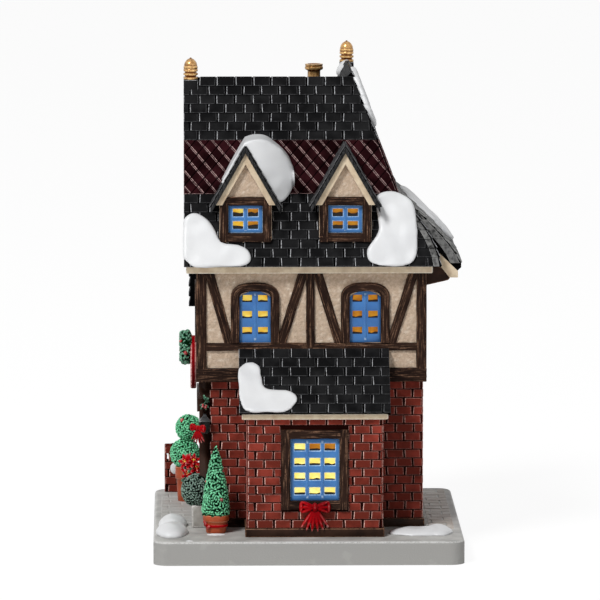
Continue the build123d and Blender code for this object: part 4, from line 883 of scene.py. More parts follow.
# %% Skirt slates
skirt_low, skirt_high = box("gable_skirt")
skirt_courses = 4
skirt_slate_wide = 4.0
skirt_gap = 0.5
skirt_lip = 0.8
skirt_rule = (always(-skirt_low.x - skirt_lip), lambda u, reach, z: Vector((-reach, -u, z)),
              always(-skirt_high.y), always(-skirt_low.y))
cells = slope(skirt_rule, steps_down(skirt_high.z, skirt_low.z, skirt_courses), skirt_slate_wide, skirt_gap,
              skirt_lip, 41)
small_sheets.append(raised(cells, paints["slate"], 0.2, 0.12, along_y))
piece("small_roof_slates", joined(small_sheets))

# %% [markdown]
# ## Where the windows are
# Walls have to leave room for windows. Each window panel is a separate solid in its casting, so its box
# tells where it sits, and its thin side tells which way it faces.


# %% Helpers that read a casting
def clean_copy(node):
    """Mesh of a casting in millimetres, with its loose facets joined up."""
    source = bpy.data.objects[node]
    mesh = source.data.copy()
    mesh.transform(Matrix.Scale(1000, 4) @ source.matrix_world)
    shape = bmesh.new()
    shape.from_mesh(mesh)
    bmesh.ops.remove_doubles(shape, verts=shape.verts, dist=0.002)
    bmesh.ops.dissolve_limit(shape, angle_limit=0.01, verts=shape.verts, edges=shape.edges)
    bmesh.ops.recalc_face_normals(shape, faces=shape.faces)
    shape.to_mesh(mesh)
    shape.free()
    mesh.materials.clear()
    return mesh


def islands(node):
    """Boxes of the separate solids in a casting."""
    mesh = clean_copy(node)
    shape = bmesh.new()
    shape.from_mesh(mesh)
    waiting = set(shape.verts)
    boxes = []
    while waiting:
        front = [waiting.pop()]
        for vert in front:
            beside = {edge.other_vert(vert) for edge in vert.link_edges} & waiting
            waiting -= beside
            front.extend(beside)
        xs, ys, zs = zip(*(vert.co for vert in front))
        boxes.append((Vector((min(xs), min(ys), min(zs))), Vector((max(xs), max(ys), max(zs)))))
    shape.free()
    bpy.data.meshes.remove(mesh)
    return boxes


def on_wall(along, offset):
    """Function that places a point on a wall from its distance along, height and lift off the wall."""
    outward = along.cross(up)
    return lambda u, z, lift=0.0: along * u + outward * (offset + lift) + up * z


# %% Find the window panels
Panel = namedtuple("Panel", "kind along offset u half low high")
window_nodes = ("house_windows", "lean_to_window", "shop_window", "dormer_windows")
same_wall = 3.0
panels = []
for node in window_nodes:
    for low, high in islands(node):
        middle = (low + high) / 2
        if high.x - low.x < high.y - low.y:
            outward = Vector((1 if middle.x > main_ridge_x else -1, 0, 0))
        else:
            outward = Vector((0, 1 if middle.y > 0 else -1, 0))
        along = up.cross(outward)
        panels.append(Panel(node, along, max(low.dot(outward), high.dot(outward)), middle.dot(along),
                            abs((high - low).dot(along)) / 2, low.z, high.z))
print(len(panels), "window panels")


def panels_on(along, offset):
    return [p for p in panels if p.along.dot(along) > 0.9 and abs(p.offset - offset) < same_wall]


def holes_on(along, offset, margin):
    """Rectangles that the windows take out of a wall, with a margin."""
    return [(p.u - p.half - margin, p.u + p.half + margin, p.low - margin, p.high + margin)
            for p in panels_on(along, offset)]


# %% [markdown]
# ## Brickwork
# The ground floor, lean-to, chimney and yard pier are brick in running bond. The casting underneath is
# painted nearly black, so it reads as deep joints between the single bricks.

# %% Brick helpers
brick_length = 7.3
brick_course = 3.55
head_joint = 0.75
bed_joint = 0.4


def brick_cells(along, offset, left, right, low, high, holes=(), inside=None, seed=2):
    place = on_wall(along, offset)
    dice = random.Random(seed)
    rows = round((high - low) / brick_course)
    step = (high - low) / rows
    cells = []
    for row in range(rows):
        foot = low + row * step + bed_joint / 2
        head = foot + step - bed_joint
        spans = [(left, right)]
        for hole_left, hole_right, hole_low, hole_high in holes:
            if foot < hole_high and head > hole_low:
                spans = [span for a, b in spans for span in ((a, min(b, hole_left)), (max(a, hole_right), b))]
        for a, b in [span for span in spans if span[1] - span[0] > smallest_cell]:
            for cell in course((a, a), (b, b), brick_length, head_joint, row, dice):
                cell = [(u, between((foot, head), t)) for u, t in cell]
                cell = clipped(cell, inside) if inside else cell
                if len(cell) > 2:
                    cells.append([place(u, z) for u, z in cell])
    return cells


# %% Brick walls
ground_low, ground_high = box("ground_floor_walls")
bay_low, bay_high = box("lean_to_walls")
plinth_top = box("plinth_boards")[1].z
wing_far_y = 17.9
main_front_x = -8.0
surround = 3.7
under_eave = 2.0
jetty = upper_low.y - ground_low.y
court_x = main_front_x - jetty
court_y = wing_far_y + jetty
bay_top = lean_eave_z - under_eave
bay_rise = (lean_high.z - lean_eave_z) / lean_run
bay_room = [(bay_low.x, bay_high.x, 0, 100)]
heights = (plinth_top, ground_high.z)


def bay_gable(sign):
    """Keeps the bricks of the lean-to's side walls under its roof."""
    return lambda p: bay_top + (sign * p[0] - bay_low.y) * bay_rise - p[1]


brick_walls = [
    (along_x, -ground_low.y, ground_low.x, ground_high.x, *heights, bay_room),
    (along_y, ground_high.x, ground_low.y, ground_high.y, *heights,
     holes_on(along_y, ground_high.x, surround)),
    (-along_x, ground_high.y, -ground_high.x, -court_x, *heights,
     holes_on(-along_x, ground_high.y, surround)),
    (-along_y, -court_x, -ground_high.y, -court_y, *heights),
    (-along_x, court_y, -court_x, -ground_low.x, *heights),
    (along_x, -bay_low.y, bay_low.x, bay_high.x, plinth_top, bay_top,
     holes_on(along_x, -bay_low.y, surround)),
    (-along_y, -bay_low.x, -ground_low.y, -bay_low.y, plinth_top, lean_high.z, [], bay_gable(-1)),
    (along_y, bay_high.x, bay_low.y, ground_low.y, plinth_top, lean_high.z, [], bay_gable(1)),
]
brick_sheets = []
for number, wall in enumerate(brick_walls):
    cells = brick_cells(*wall, seed=number)
    brick_sheets.append(raised(cells, paints["brick"], 0.3, 0.2, -wall[0], unevenness=0.12, crown=0.9,
                               other=0.32, tint=0.8, seed=number))

# %% Brick stacks
stack_low, stack_high = box("chimney_stack")
pier_low, pier_high = box("brick_pier")
cap_reach = 1.6
cap_drop = 4.0
stacks = [
    (stack_low + Vector((cap_reach, cap_reach, 0)), stack_high - Vector((cap_reach, cap_reach, cap_drop))),
    (pier_low, pier_high),
]
for number, (low, high) in enumerate(stacks):
    sides = [(along_x, -low.y, low.x, high.x), (along_y, high.x, low.y, high.y),
             (-along_x, high.y, -high.x, -low.x), (-along_y, -low.x, -high.y, -low.y)]
    for side in sides:
        cells = brick_cells(*side, low.z, high.z, seed=50 + number)
        brick_sheets.append(raised(cells, paints["brick"], 0.2, 0.14, -side[0], unevenness=0.08, tint=0.8))
piece("bricks", joined(brick_sheets))

# %% [markdown]
# ## Stucco
# The upper walls are rough-cast: lumps that catch the light and small pits between them. A fine sheet over
# each wall is pushed in and out by noise, and the same noise is stored so that the paint can follow it: the
# lumps get a painted highlight and the pits painted shade.

# %% Stucco helper
stucco_step = 0.9
stucco_lift = 0.16
stucco_thick = 0.5
stucco_margin = 0.6
lumps_per_mm = 0.8
lump_high = 0.16
pits_per_mm = 1.1
pit_deep = 0.5
pit_level = 0.2
pit_shift = Vector((31, 17, 5))


def stucco_sheet(along, offset, left, right, low, high, inside=None):
    place = on_wall(along, offset)
    holes = holes_on(along, offset, stucco_margin)
    columns = round((right - left) / stucco_step)
    rows = round((high - low) / stucco_step)
    points, lumps, pits, faces = [], [], [], []
    for row in range(rows + 1):
        for column in range(columns + 1):
            u = between((left, right), column / columns)
            z = between((low, high), row / rows)
            spot = Vector((u, z, offset))
            lumps.append(noise.noise(spot * lumps_per_mm))
            pits.append(max(0.0, noise.noise(spot * pits_per_mm + pit_shift) - pit_level))
            points.append(place(u, z, stucco_lift + lump_high * lumps[-1] - pit_deep * pits[-1]))
    for row in range(rows):
        for column in range(columns):
            u = between((left, right), (column + 0.5) / columns)
            z = between((low, high), (row + 0.5) / rows)
            opened = any(a < u < b and c < z < d for a, b, c, d in holes)
            if not opened and (inside is None or inside(u, z)):
                corner = row * (columns + 1) + column
                faces.append((corner, corner + 1, corner + columns + 2, corner + columns + 1))
    mesh = drawn("stucco", points, faces)
    # Lumps are stored for a painted highlight and pits for painted shade.
    store(mesh, "worn", [max(0.0, 1.8 * lump - 0.2) for lump in lumps])
    store(mesh, "tint", [min(1.0, 4.0 * pit) for pit in pits])
    shape = bmesh.new()
    shape.from_mesh(mesh)
    loose = [vert for vert in shape.verts if not vert.link_faces]
    bmesh.ops.delete(shape, geom=loose, context="VERTS")
    shape.to_mesh(mesh)
    shape.free()
    return modified(mesh, ("SOLIDIFY", {"thickness": stucco_thick, "offset": -1.0}))


# %% Stucco walls
upper_walls = {
    "near": (along_x, -upper_low.y, upper_low.x, upper_high.x),
    "back": (along_y, upper_high.x, upper_low.y, upper_high.y),
    "far": (-along_x, upper_high.y, -upper_high.x, -main_front_x),
    "court": (-along_y, -main_front_x, -upper_high.y, -wing_far_y),
    "wing_far": (-along_x, wing_far_y, -main_front_x, -upper_low.x),
    "front": (-along_y, -upper_low.x, -wing_far_y, -upper_low.y),
}
gable_low, gable_high = box("front_gable_wall")
gable_run = (gable_high.y - gable_low.y) / 2
gable_rise = gable_high.z - gable_low.z
dormer_window_top = box("dormer_windows")[1].z
dormer_sheet_top = dormer_high.z - 4.0
dormer_peak = dormer_high.z - 5.0
stucco_sheets = [stucco_sheet(*wall, upper_low.z, upper_high.z) for wall in upper_walls.values()]
stucco_sheets.append(stucco_sheet(
    -along_y, -gable_low.x, -gable_high.y, -gable_low.y, gable_low.z, gable_high.z,
    lambda u, z: abs(u + wing_ridge_y) < (gable_high.z - z) * gable_run / gable_rise))
for x in dormer_xs:
    stucco_sheets.append(stucco_sheet(
        along_x, -dormer_body_low.y, x - dormer_half, x + dormer_half, dormer_window_top, dormer_sheet_top,
        lambda u, z: abs(u - x) < (dormer_peak - z) / dormer_slope))
piece("stucco_skin", joined(stucco_sheets), paints["stucco"], smooth=60)

# %% [markdown]
# ## Hewn timbers
# The dark framing was carved in the clay with a wandering edge and grooves along the grain. Each board is
# swept along a path on its wall: straight for posts and braces, bent over the window heads. The coordinates
# along the grain are stored, so the paint can draw lighter streaks the same way.

# %% Board helpers
board_shares = (-0.5, -0.495, -0.43, -0.28, -0.14, 0.0, 0.14, 0.28, 0.43, 0.495, 0.5)
board_heights = (0.0, 0.75, 0.97, 1.0, 1.0, 1.0, 1.0, 1.0, 0.97, 0.75, 0.0)
board_step = 1.1
edge_wander = 0.16
groove = 0.22
ridge_limit = 0.06


def straight(*corners):
    return [Vector(corner) for corner in corners]


def resampled(path, step):
    """Evenly spaced points along a path of corners."""
    points = [path[0]]
    for one, two in zip(path, path[1:]):
        count = max(1, round((two - one).length / step))
        points += [one.lerp(two, (index + 1) / count) for index in range(count)]
    return points


def empty_sheet():
    return {"points": [], "faces": [], "grain": []}


def board(sheet, place, path, width, depth):
    """Adds one board to a sheet of points, faces and grain coordinates."""
    points = resampled(path, board_step)
    first = len(sheet["points"])
    seed = 13.7 * first % 97.0
    ring = len(board_shares)
    for index, point in enumerate(points):
        ahead = points[min(index + 1, len(points) - 1)] - points[max(index - 1, 0)]
        side = Vector((-ahead.y, ahead.x)).normalized()
        along = index * board_step
        for share, height in zip(board_shares, board_heights):
            spread = width * share + edge_wander * noise.noise(Vector((along * 0.14, share * 2, seed)))
            cut = groove * noise.noise(Vector((share * width * 1.5, along * 0.09, seed)))
            lift = depth * height + (min(cut, ridge_limit) if height > 0.9 else 0.0)
            spot = point + side * spread
            sheet["points"].append(place(spot.x, spot.y, lift))
            sheet["grain"] += [share * width + seed, along, seed]
    last = first + (len(points) - 1) * ring
    for start in range(first, last, ring):
        for step in range(ring):
            a = start + step
            b = start + (step + 1) % ring
            sheet["faces"].append((a, a + ring, b + ring, b))
    sheet["faces"].append(tuple(range(first, first + ring)))
    sheet["faces"].append(tuple(range(last + ring - 1, last - 1, -1)))


def board_mesh(sheet):
    mesh = drawn("boards", sheet["points"], sheet["faces"])
    store(mesh, "grain", sheet["grain"], "FLOAT_VECTOR")
    return mesh


# %% Frame of each wall
relief = 1.2
post_width = 4.2
middle_post_width = 3.6
middle_post_x = 1.1
sill_height = 5.8
rail_low = 84.5
rail_high = 87.8
brace_width = 3.9
brace_in = 1.15
window_clear = 10.8
blank_clear = 2.0
frame_top = box("near_timbers")[1].z
sill_z = upper_low.z + sill_height / 2
rail_z = (rail_low + rail_high) / 2
middle_posts = {"near": [middle_post_x], "back": [(upper_low.y + upper_high.y) / 2]}
wing_bay = (-main_front_x - upper_low.x) / 2


def bays_on(wall, label):
    """Middles of the braced bays, each with the room its braces leave at the foot."""
    if label == "front":
        return []
    if label == "wing_far":
        return [(wing_bay, blank_clear)]
    windows = [p.u for p in panels_on(*wall[:2]) if p.kind == "house_windows" and p.low > rail_low]
    return [(u, window_clear) for u in sorted(windows)]


def framed(sheet, wall, label):
    along, offset, left, right = wall
    place = on_wall(along, offset)
    corner_in = post_width / 2 - relief
    posts = [(left + corner_in, post_width)]
    posts += [(u, middle_post_width) for u in middle_posts.get(label, [])]
    posts += [(right - corner_in, post_width)]
    ends = (left - relief, right + relief)
    board(sheet, place, straight(*((u, sill_z) for u in ends)), sill_height, relief + 0.1)
    board(sheet, place, straight(*((u, rail_z) for u in ends)), rail_high - rail_low, relief - 0.1)
    for u, width in posts:
        board(sheet, place, straight((u, upper_low.z), (u, frame_top)), width, relief)
    for (one, one_width), (two, two_width), (middle, clear) in zip(posts, posts[1:], bays_on(wall, label)):
        left_head = one + one_width / 2 + brace_in
        right_head = two - two_width / 2 - brace_in
        for foot, head in ((middle - clear, left_head), (middle + clear, right_head)):
            board(sheet, place, straight((foot, rail_high), (head, frame_top)), brace_width, relief - 0.15)


framings = {"near_timbers": ["near"], "front_timbers": ["front"],
            "rear_timbers": ["back", "far", "court", "wing_far"]}
for node, labels in framings.items():
    sheet = empty_sheet()
    for label in labels:
        framed(sheet, upper_walls[label], label)
    piece(node + "_hewn", board_mesh(sheet), paints["grain"], [node], smooth=50)

# %% Boards round the windows
panel_recess = 0.4
surround_depth = 1.7
arch_rise = 2.6
arch_points = 14
dormer_surround = 3.5


def arch(p, out_by):
    """Path up one side of a window, over its bent head, and down the other side."""
    half = p.half + out_by
    spring = p.high - arch_rise
    rise = arch_rise + out_by
    over = []
    for index in range(arch_points + 1):
        turn = math.pi * (1 - index / arch_points)
        sideways = math.copysign(abs(math.cos(turn)) ** 0.7, math.cos(turn))
        over.append((p.u + half * sideways, spring + rise * math.sin(turn) ** 0.8))
    return straight((p.u - half, p.low), *over, (p.u + half, p.low))


def square_surround(sheet, place, p, wide):
    """Two rails and two posts round a square window."""
    left = p.u - p.half - wide / 2
    right = p.u + p.half + wide / 2
    for z in (p.low - wide / 2, p.high + wide / 2):
        board(sheet, place, straight((left - wide / 2, z), (right + wide / 2, z)), wide, surround_depth - 0.1)
    for u in (left, right):
        board(sheet, place, straight((u, p.low - wide), (u, p.high + wide)), wide, surround_depth)


sheet = empty_sheet()
for p in panels:
    place = on_wall(p.along, p.offset + panel_recess)
    if p.kind == "house_windows":
        board(sheet, place, arch(p, surround / 2), surround, surround_depth)
        if p.low < rail_low:
            sill = straight((p.u - p.half - surround, p.low - surround / 2),
                            (p.u + p.half + surround, p.low - surround / 2))
            board(sheet, place, sill, surround, surround_depth)
    elif p.kind != "shop_window":
        square_surround(sheet, place, p, surround if p.kind == "lean_to_window" else dormer_surround)
piece("window_surrounds_hewn", board_mesh(sheet), paints["grain"], ["window_surrounds"],
      smooth=50)

# %% [markdown]
# ## Windows
# A window is a flat blue panel pierced with small holes, with a lit film behind. The panel is a copy of its
# casting with softened edges, and the softened faces are marked as worn, so the brush finds them. A dark
# sheet across the lower part of each hole is painted shade, where the hole's thick lower edge lies in shadow.


# %% Softened copies
def softened(node, width):
    mesh = clean_copy(node)
    mesh.materials.append(None)
    mesh.materials.append(None)
    made = modified(mesh, ("BEVEL", {"width": width, "segments": 2, "limit_method": "ANGLE",
                                     "angle_limit": math.radians(35), "material": 1}))
    store(made, "worn", [float(face.material_index == 1) for face in made.polygons], domain="FACE")
    for face in made.polygons:
        face.material_index = 0
    return made


for node in window_nodes:
    piece(node + "_panel", softened(node, 0.28), paints["blue"], [node], smooth=40)

# %% Lit panes, painted sill shade and glazing bars
Panes = namedtuple("Panes", "across up wide high spacing_u spacing_z first")
pane_rules = {
    "house_windows": Panes(across=2, up=3, wide=4.0, high=3.0, spacing_u=6.5, spacing_z=6.7, first=5.0),
    "lean_to_window": Panes(across=3, up=4, wide=4.4, high=3.0, spacing_u=6.2, spacing_z=6.1, first=4.0),
    "dormer_windows": Panes(across=2, up=2, wide=4.2, high=3.2, spacing_u=6.2, spacing_z=5.2, first=3.4),
    "shop_window": Panes(across=4, up=4, wide=3.8, high=4.4, spacing_u=5.2, spacing_z=6.1, first=4.0),
}
panel_gap = 0.1
film_back = -2.0
film_reach = 0.6
sill_back = -1.5
sill_foot = 0.54
sill_reach = 0.52
brink_shares = (sill_reach, 0.2, -0.15, -sill_reach)
deep_brink = (-0.2, 0.12)
plain_brink = (-0.42, -0.2)
bar_half = 0.45
bar_end = 0.9


def rectangle(place, left, right, low, high, lift=0.0):
    return [place(u, z, lift) for u, z in ((left, low), (right, low), (right, high), (left, high))]


def glow_of(p, column, row):
    """Which film lies behind a hole. The lamp inside lights some more than others."""
    if p.kind == "lean_to_window":
        return "orange" if column > 0 and row == 3 else "pale"
    if p.kind == "dormer_windows":
        return "orange" if p.u > 0 or column == 1 else "yellow"
    return "orange" if p.kind == "house_windows" and p.u > 0 else "yellow"


dice = random.Random(8)
pane_cells = {label: [] for label in films}
sill_shade_cells = []
bar_cells = []
for p in panels:
    rule = pane_rules[p.kind]
    place = on_wall(p.along, p.offset)
    brink = deep_brink if p.kind == "dormer_windows" else plain_brink
    for column in range(rule.across):
        for row in range(rule.up):
            u = p.u + (column - (rule.across - 1) / 2) * rule.spacing_u
            z = p.low - panel_gap + rule.first + row * rule.spacing_z
            pane_cells[glow_of(p, column, row)].append(
                rectangle(place, u - rule.wide * film_reach, u + rule.wide * film_reach,
                          z - rule.high * film_reach, z + rule.high * film_reach, film_back))
            # Each hole gets a dark sheet across its lower part: painted shade with a wandering top edge.
            foot = z - rule.high * sill_foot
            outline = [(-sill_reach, foot), (sill_reach, foot)]
            outline += [(share, z + rule.high * dice.uniform(*brink)) for share in brink_shares]
            sill_shade_cells.append([place(u + rule.wide * share, level, sill_back) for share, level in outline])
    for column in range(rule.across - 1):
        u = p.u + (column - rule.across / 2 + 1) * rule.spacing_u
        bar_cells.append(rectangle(place, u - bar_half, u + bar_half, p.low + bar_end, p.high - bar_end))
for label, cells in pane_cells.items():
    mesh = raised(cells, films[label], 0.3, 0.05, unevenness=0.0, tint=0.3)
    piece("lit_panes_" + label, mesh,
          stands_for=["window_films"] if label == "yellow" else [])
piece("pane_sills", raised(sill_shade_cells, paints["shade"], 0.4, 0.1, unevenness=0.2))
piece("glazing_bars", raised(bar_cells, paints["blue"], 0.12, 0.12, unevenness=0.0, crown=0.9, other=0.8,
                             tint=0.0))

# %% [markdown]
# ## Boards, blocks and small castings with softened edges
# Plain pieces keep their casting's shape. Rounding their edges and marking the rounding as worn is enough.

# %% Softened trim
trim = {
    "eave_cornices": (0.5, "cream_trim", "cream"),
    "bargeboards": (0.4, "cream_trim", "cream"),
    "plinth_boards": (0.4, "timber_brown", "timber"),
    "rear_eave_box": (0.4, "timber_brown", "timber"),
    "shopfront": (0.35, "timber_brown", "timber"),
    "window_box": (0.3, "timber_brown", "timber"),
    "front_door": (0.25, "timber_brown", "timber"),
    "stone_planter": (0.7, "stone_grey", "stone"),
    "lantern": (0.18, "iron_black", "iron"),
    "sign_board": (0.6, "ribbon_red", "ribbon"),
    "finial_blocks": (0.15, "slate_black", "slate"),
    "dormers": (0.3, "stucco_beige", "stucco"),
    "battery_tray": (0.3, "tray_black", "tray"),
    "cover_screw": (0.15, "spring_steel", "steel"),
    "cone_pot": (0.3, "terracotta", "terracotta"),
    "ball_pot": (0.3, "terracotta", "terracotta"),
}
for node, (width, slot, label) in trim.items():
    rides_on = "cover" if node == "cover_screw" else "house"
    piece(node + "_soft", softened(node, width), paints[label], [node], rides_on, smooth=40)

# %% [markdown]
# ## Snow
# The snow is thick slip, poured on and left round at the rim. Each patch is rebuilt from small cubes and
# then relaxed, which rounds its edges, and puffed out again by the thickness that the relaxing took. Slow
# noise swells it a little. On the first dormer the patch is bent back over the right slope and thinned on
# the left.

# %% Snow patches
snow_cube = 0.5
snow_swell = 0.5
snow_swells_per_mm = 0.16
cap_x = dormer_xs[0]
cap_wide = 20.0
cap_foot_z = 143.0
cap_fall = 0.023
cap_strip = 2.2
cap_thinned = 0.85


def snowed(node, rounds, puff):
    mesh = modified(clean_copy(node), ("REMESH", {"mode": "VOXEL", "voxel_size": snow_cube}),
                    ("SMOOTH", {"factor": 0.5, "iterations": rounds}),
                    ("DISPLACE", {"strength": puff, "mid_level": 0.0}))
    ways_out = [vert.normal.copy() for vert in mesh.vertices]
    for vert, way_out in zip(mesh.vertices, ways_out):
        vert.co += way_out * (snow_swell * noise.noise(vert.co * snow_swells_per_mm))
        past = vert.co.x - cap_x
        if node == "roof_snow" and vert.co.z > cap_foot_z:
            if 0.0 < past < cap_wide:
                vert.co.y += cap_fall * past ** 2
            if past < 0.0:
                edge_z = dormer_high.z + dormer_slope * past
                vert.co.z -= max(0.0, vert.co.z - edge_z - cap_strip) * cap_thinned
    return mesh


for node, rounds, puff in (("roof_snow", 14, 0.35), ("lean_to_snow", 12, 0.35), ("ground_snow", 8, 0.15)):
    piece(node + "_soft", snowed(node, rounds, puff), paints["snow"], [node], smooth=180)

# %% [markdown]
# ## Clipped shrubs
# The modeller pressed little tufts all over each shrub. A Geometry Nodes tree scatters a tuft over the
# casting's surface at an even spacing, turned and sized at random, and keeps the casting as a dark core.
# The tips are stored as worn, so the brush turns them pale. The same tree with no core sets the berries.

# %% Tuft tree
smallest_tuft = 0.75
largest_tuft = 1.2
tuft_tilt = 0.35
full_turn = 6.28
spots_per_space = 4.0
shrub, given, result = group(
    "Clipped shrub", "GeometryNodeTree",
    {"Geometry": "Geometry", "Tuft": "Object", "Spacing": "Float", "Size": "Float", "Keep core": "Bool",
     "Seed": "Int", "Material": "Material", "Core material": "Material"},
    {"Geometry": "Geometry"})
crowding = maths(shrub, "POWER", given["Spacing"], -2.0)
crowding = maths(shrub, "MULTIPLY", crowding, spots_per_space)
spots = add(shrub, "GeometryNodeDistributePointsOnFaces",
            {"Mesh": given["Geometry"], "Distance Min": given["Spacing"], "Density Max": crowding,
             "Seed": given["Seed"]}, distribute_method="POISSON")
tuft = add(shrub, "GeometryNodeObjectInfo", {"Object": given["Tuft"]})
chance = add(shrub, "FunctionNodeRandomValue", {0: smallest_tuft, 1: largest_tuft, "Seed": given["Seed"]})
sized = maths(shrub, "MULTIPLY", chance, given["Size"])
planted = add(shrub, "GeometryNodeInstanceOnPoints",
              {"Points": spots.outputs["Points"], "Instance": tuft.outputs["Geometry"],
               "Rotation": spots.outputs["Rotation"], "Scale": sized})
spin = add(shrub, "FunctionNodeRandomValue",
           {0: (-tuft_tilt, -tuft_tilt, 0.0), 1: (tuft_tilt, tuft_tilt, full_turn), "Seed": given["Seed"]},
           data_type="FLOAT_VECTOR")
angles = add(shrub, "FunctionNodeEulerToRotation", {0: spin})
spun = add(shrub, "GeometryNodeRotateInstances", {"Instances": planted, "Rotation": angles})
real = add(shrub, "GeometryNodeRealizeInstances", {"Geometry": spun})
core = add(shrub, "GeometryNodeSwitch", {"Switch": given["Keep core"], "True": given["Geometry"]},
           input_type="GEOMETRY")
leafy = add(shrub, "GeometryNodeSetMaterial", {"Geometry": real, "Material": given["Material"]})
woody = add(shrub, "GeometryNodeSetMaterial", {"Geometry": core, "Material": given["Core material"]})
whole = add(shrub, "GeometryNodeJoinGeometry", {0: leafy})
shrub.links.new(out(woody), whole.inputs[0])
shrub.links.new(out(whole), result["Geometry"])


# %% Tuft and berry shapes
def turned_lump(name, rings, sides, shade=0.0):
    """Round shape from rings of (radius, height, wear and highlight), closed at both ends. What isn't marked
    is darkened by the shade factor, as painted shade.
    """
    points, worn, faces = [], [], []
    for radius, height, value in rings:
        for side in range(sides):
            angle = 2 * math.pi * side / sides
            points.append((radius * math.cos(angle), radius * math.sin(angle), height))
            worn.append(value)
    for ring in range(len(rings) - 1):
        for side in range(sides):
            a = ring * sides + side
            b = ring * sides + (side + 1) % sides
            faces.append((a, b, b + sides, a + sides))
    faces.append(tuple(range(sides - 1, -1, -1)))
    faces.append(tuple(range((len(rings) - 1) * sides, len(rings) * sides)))
    mesh = drawn(name, points, faces)
    store(mesh, "worn", worn)
    store(mesh, "tint", [shade * (1.0 - value) for value in worn])
    return mesh


tuft_rings = [(0.9, -0.5, 0.0), (1.0, 0.1, 0.0), (0.7, 0.5, 0.8), (0.3, 0.8, 1.0)]
# The berry's top ring is marked for a painted highlight.
berry_rings = [(0.5, -0.8, 0.0), (1.0, 0.0, 0.0), (0.75, 0.65, 0.0), (0.2, 0.97, 0.6)]
# The tuft's base is darkened by its shade of 0.9, as painted shade between the tufts; its pale tips are dry
# brushing.
tuft_shape = bpy.data.objects.new("tuft", turned_lump("tuft", tuft_rings, 5, 0.9))
tuft_shape.data.transform(Matrix.Diagonal((1.3, 0.72, 1.0, 1.0)))
berry_shape = bpy.data.objects.new("berry", turned_lump("berry", berry_rings, 8))


# %% Shrubs and berries
def planting(node, shape, spacing, size, seed, paint, core_paint=None):
    """A casting set with tufts or berries. It stays as the core if it has a paint of its own."""
    return grown(clean_copy(node), shrub, {
        "Tuft": shape, "Spacing": spacing, "Size": size, "Keep core": core_paint is not None, "Seed": seed,
        "Material": paint, "Core material": core_paint or paint})


Shrub = namedtuple("Shrub", "spacing size slot paint core berry_gap")
shrubs = {
    "cone_topiary": Shrub(0.85, 0.72, "leaf_green", "leaf", "leaf_core", 8.0),
    "ball_topiary": Shrub(0.85, 0.72, "leaf_green", "leaf", "leaf_core", 8.0),
    "box_ball": Shrub(0.9, 0.66, "box_green", "box", "box_core", None),
    "wreath": Shrub(1.1, 0.85, "leaf_green", "holly", "leaf_core", 4.5),
}
berry_size = 0.95
for number, (node, rule) in enumerate(shrubs.items()):
    tufts = planting(node, tuft_shape, rule.spacing, rule.size, number, paints[rule.paint], paints[rule.core])
    piece(node + "_tufts", tufts, None, [node], smooth=50)
    if rule.berry_gap:
        fruit = planting(node, berry_shape, rule.berry_gap, berry_size, 40 + number, paints["berry"])
        piece(node + "_berries", fruit, paints["berry"], smooth=60)
for shape in (tuft_shape, berry_shape):
    bpy.data.objects.remove(shape)

# %% [markdown]
# ## Ribbons and flowers
# Bows and flowers were modelled from pinched rolls of clay. Here too each pleat, tail and petal starts as
# one stretched ball, and melting the balls together with small cubes gives the soft joins of a cast piece.
# What lies deeper than a smoothed copy gets painted shade from the wash, and the ribs that stand out of it
# get a painted highlight from the brush.

# %% Pinched clay helper
crease_blur = 12
crease_depth = 0.5
rib_start = 0.45


def pinched(balls, cube=0.28, rounds=3):
    """Melts stretched balls together. Each ball is (middle, long axis, outward axis, long, wide, deep)."""
    shape = bmesh.new()
    for middle, axis, outward, long, wide, deep in balls:
        ahead = Vector(axis).normalized()
        side = Vector(outward).cross(ahead).normalized()
        over = ahead.cross(side)
        turn = Matrix((ahead * long, side * wide, over * deep)).transposed().to_4x4()
        bmesh.ops.create_uvsphere(shape, u_segments=12, v_segments=8, radius=1.0,
                                  matrix=Matrix.Translation(middle) @ turn)
    mesh = bpy.data.meshes.new("pinched")
    shape.to_mesh(mesh)
    shape.free()
    made = modified(mesh, ("REMESH", {"mode": "VOXEL", "voxel_size": cube}),
                    ("SMOOTH", {"factor": 0.5, "iterations": rounds}))
    blurred = modified(made.copy(), ("SMOOTH", {"factor": 0.5, "iterations": crease_blur}))
    dips = [(soft.co - vert.co).dot(vert.normal) / (crease_depth * cube)
            for soft, vert in zip(blurred.vertices, made.vertices)]
    bpy.data.meshes.remove(blurred)
    # Creases are stored for painted shade and the highest ribs for a painted highlight.
    store(made, "tint", [clamped(dip) for dip in dips])
    store(made, "worn", [clamped((-dip - rib_start) / (1 - rib_start)) for dip in dips])
    return made


# %% Bow
knot_shares = (0.32, 0.2, 0.26)
pleat_shares = (0.5, 0.13, 0.2)
loop_shares = (0.4, 0.14, 0.22)
tail_shares = (0.82, 0.11, 0.12)
pleat_out = 0.56
loop_out = 0.95
tail_out = 0.95
pleat_tilts = (-22, 0, 22)
tail_tilts = (7, 20, 34)


def bow(knot, right, outward, size):
    """Two pleated loops, a knot and six flared tails, hanging straight down."""
    def ball(way, away, axis, shares):
        return (knot + way * away * size, axis, outward, *[share * size for share in shares])
    balls = [ball(up, 0.0, up, knot_shares)]
    for side in (-1, 1):
        for tilt in pleat_tilts:
            lean = math.radians(tilt)
            axis = right * (side * math.cos(lean)) + up * math.sin(lean)
            balls.append(ball(axis, pleat_out, axis, pleat_shares))
        balls.append(ball(right * side, loop_out, up, loop_shares))
        for tilt in tail_tilts:
            lean = math.radians(tilt)
            axis = right * (side * math.sin(lean)) - up * math.cos(lean)
            balls.append(ball(axis, tail_out, axis, tail_shares))
    return pinched(balls, 0.035 * size + 0.06)


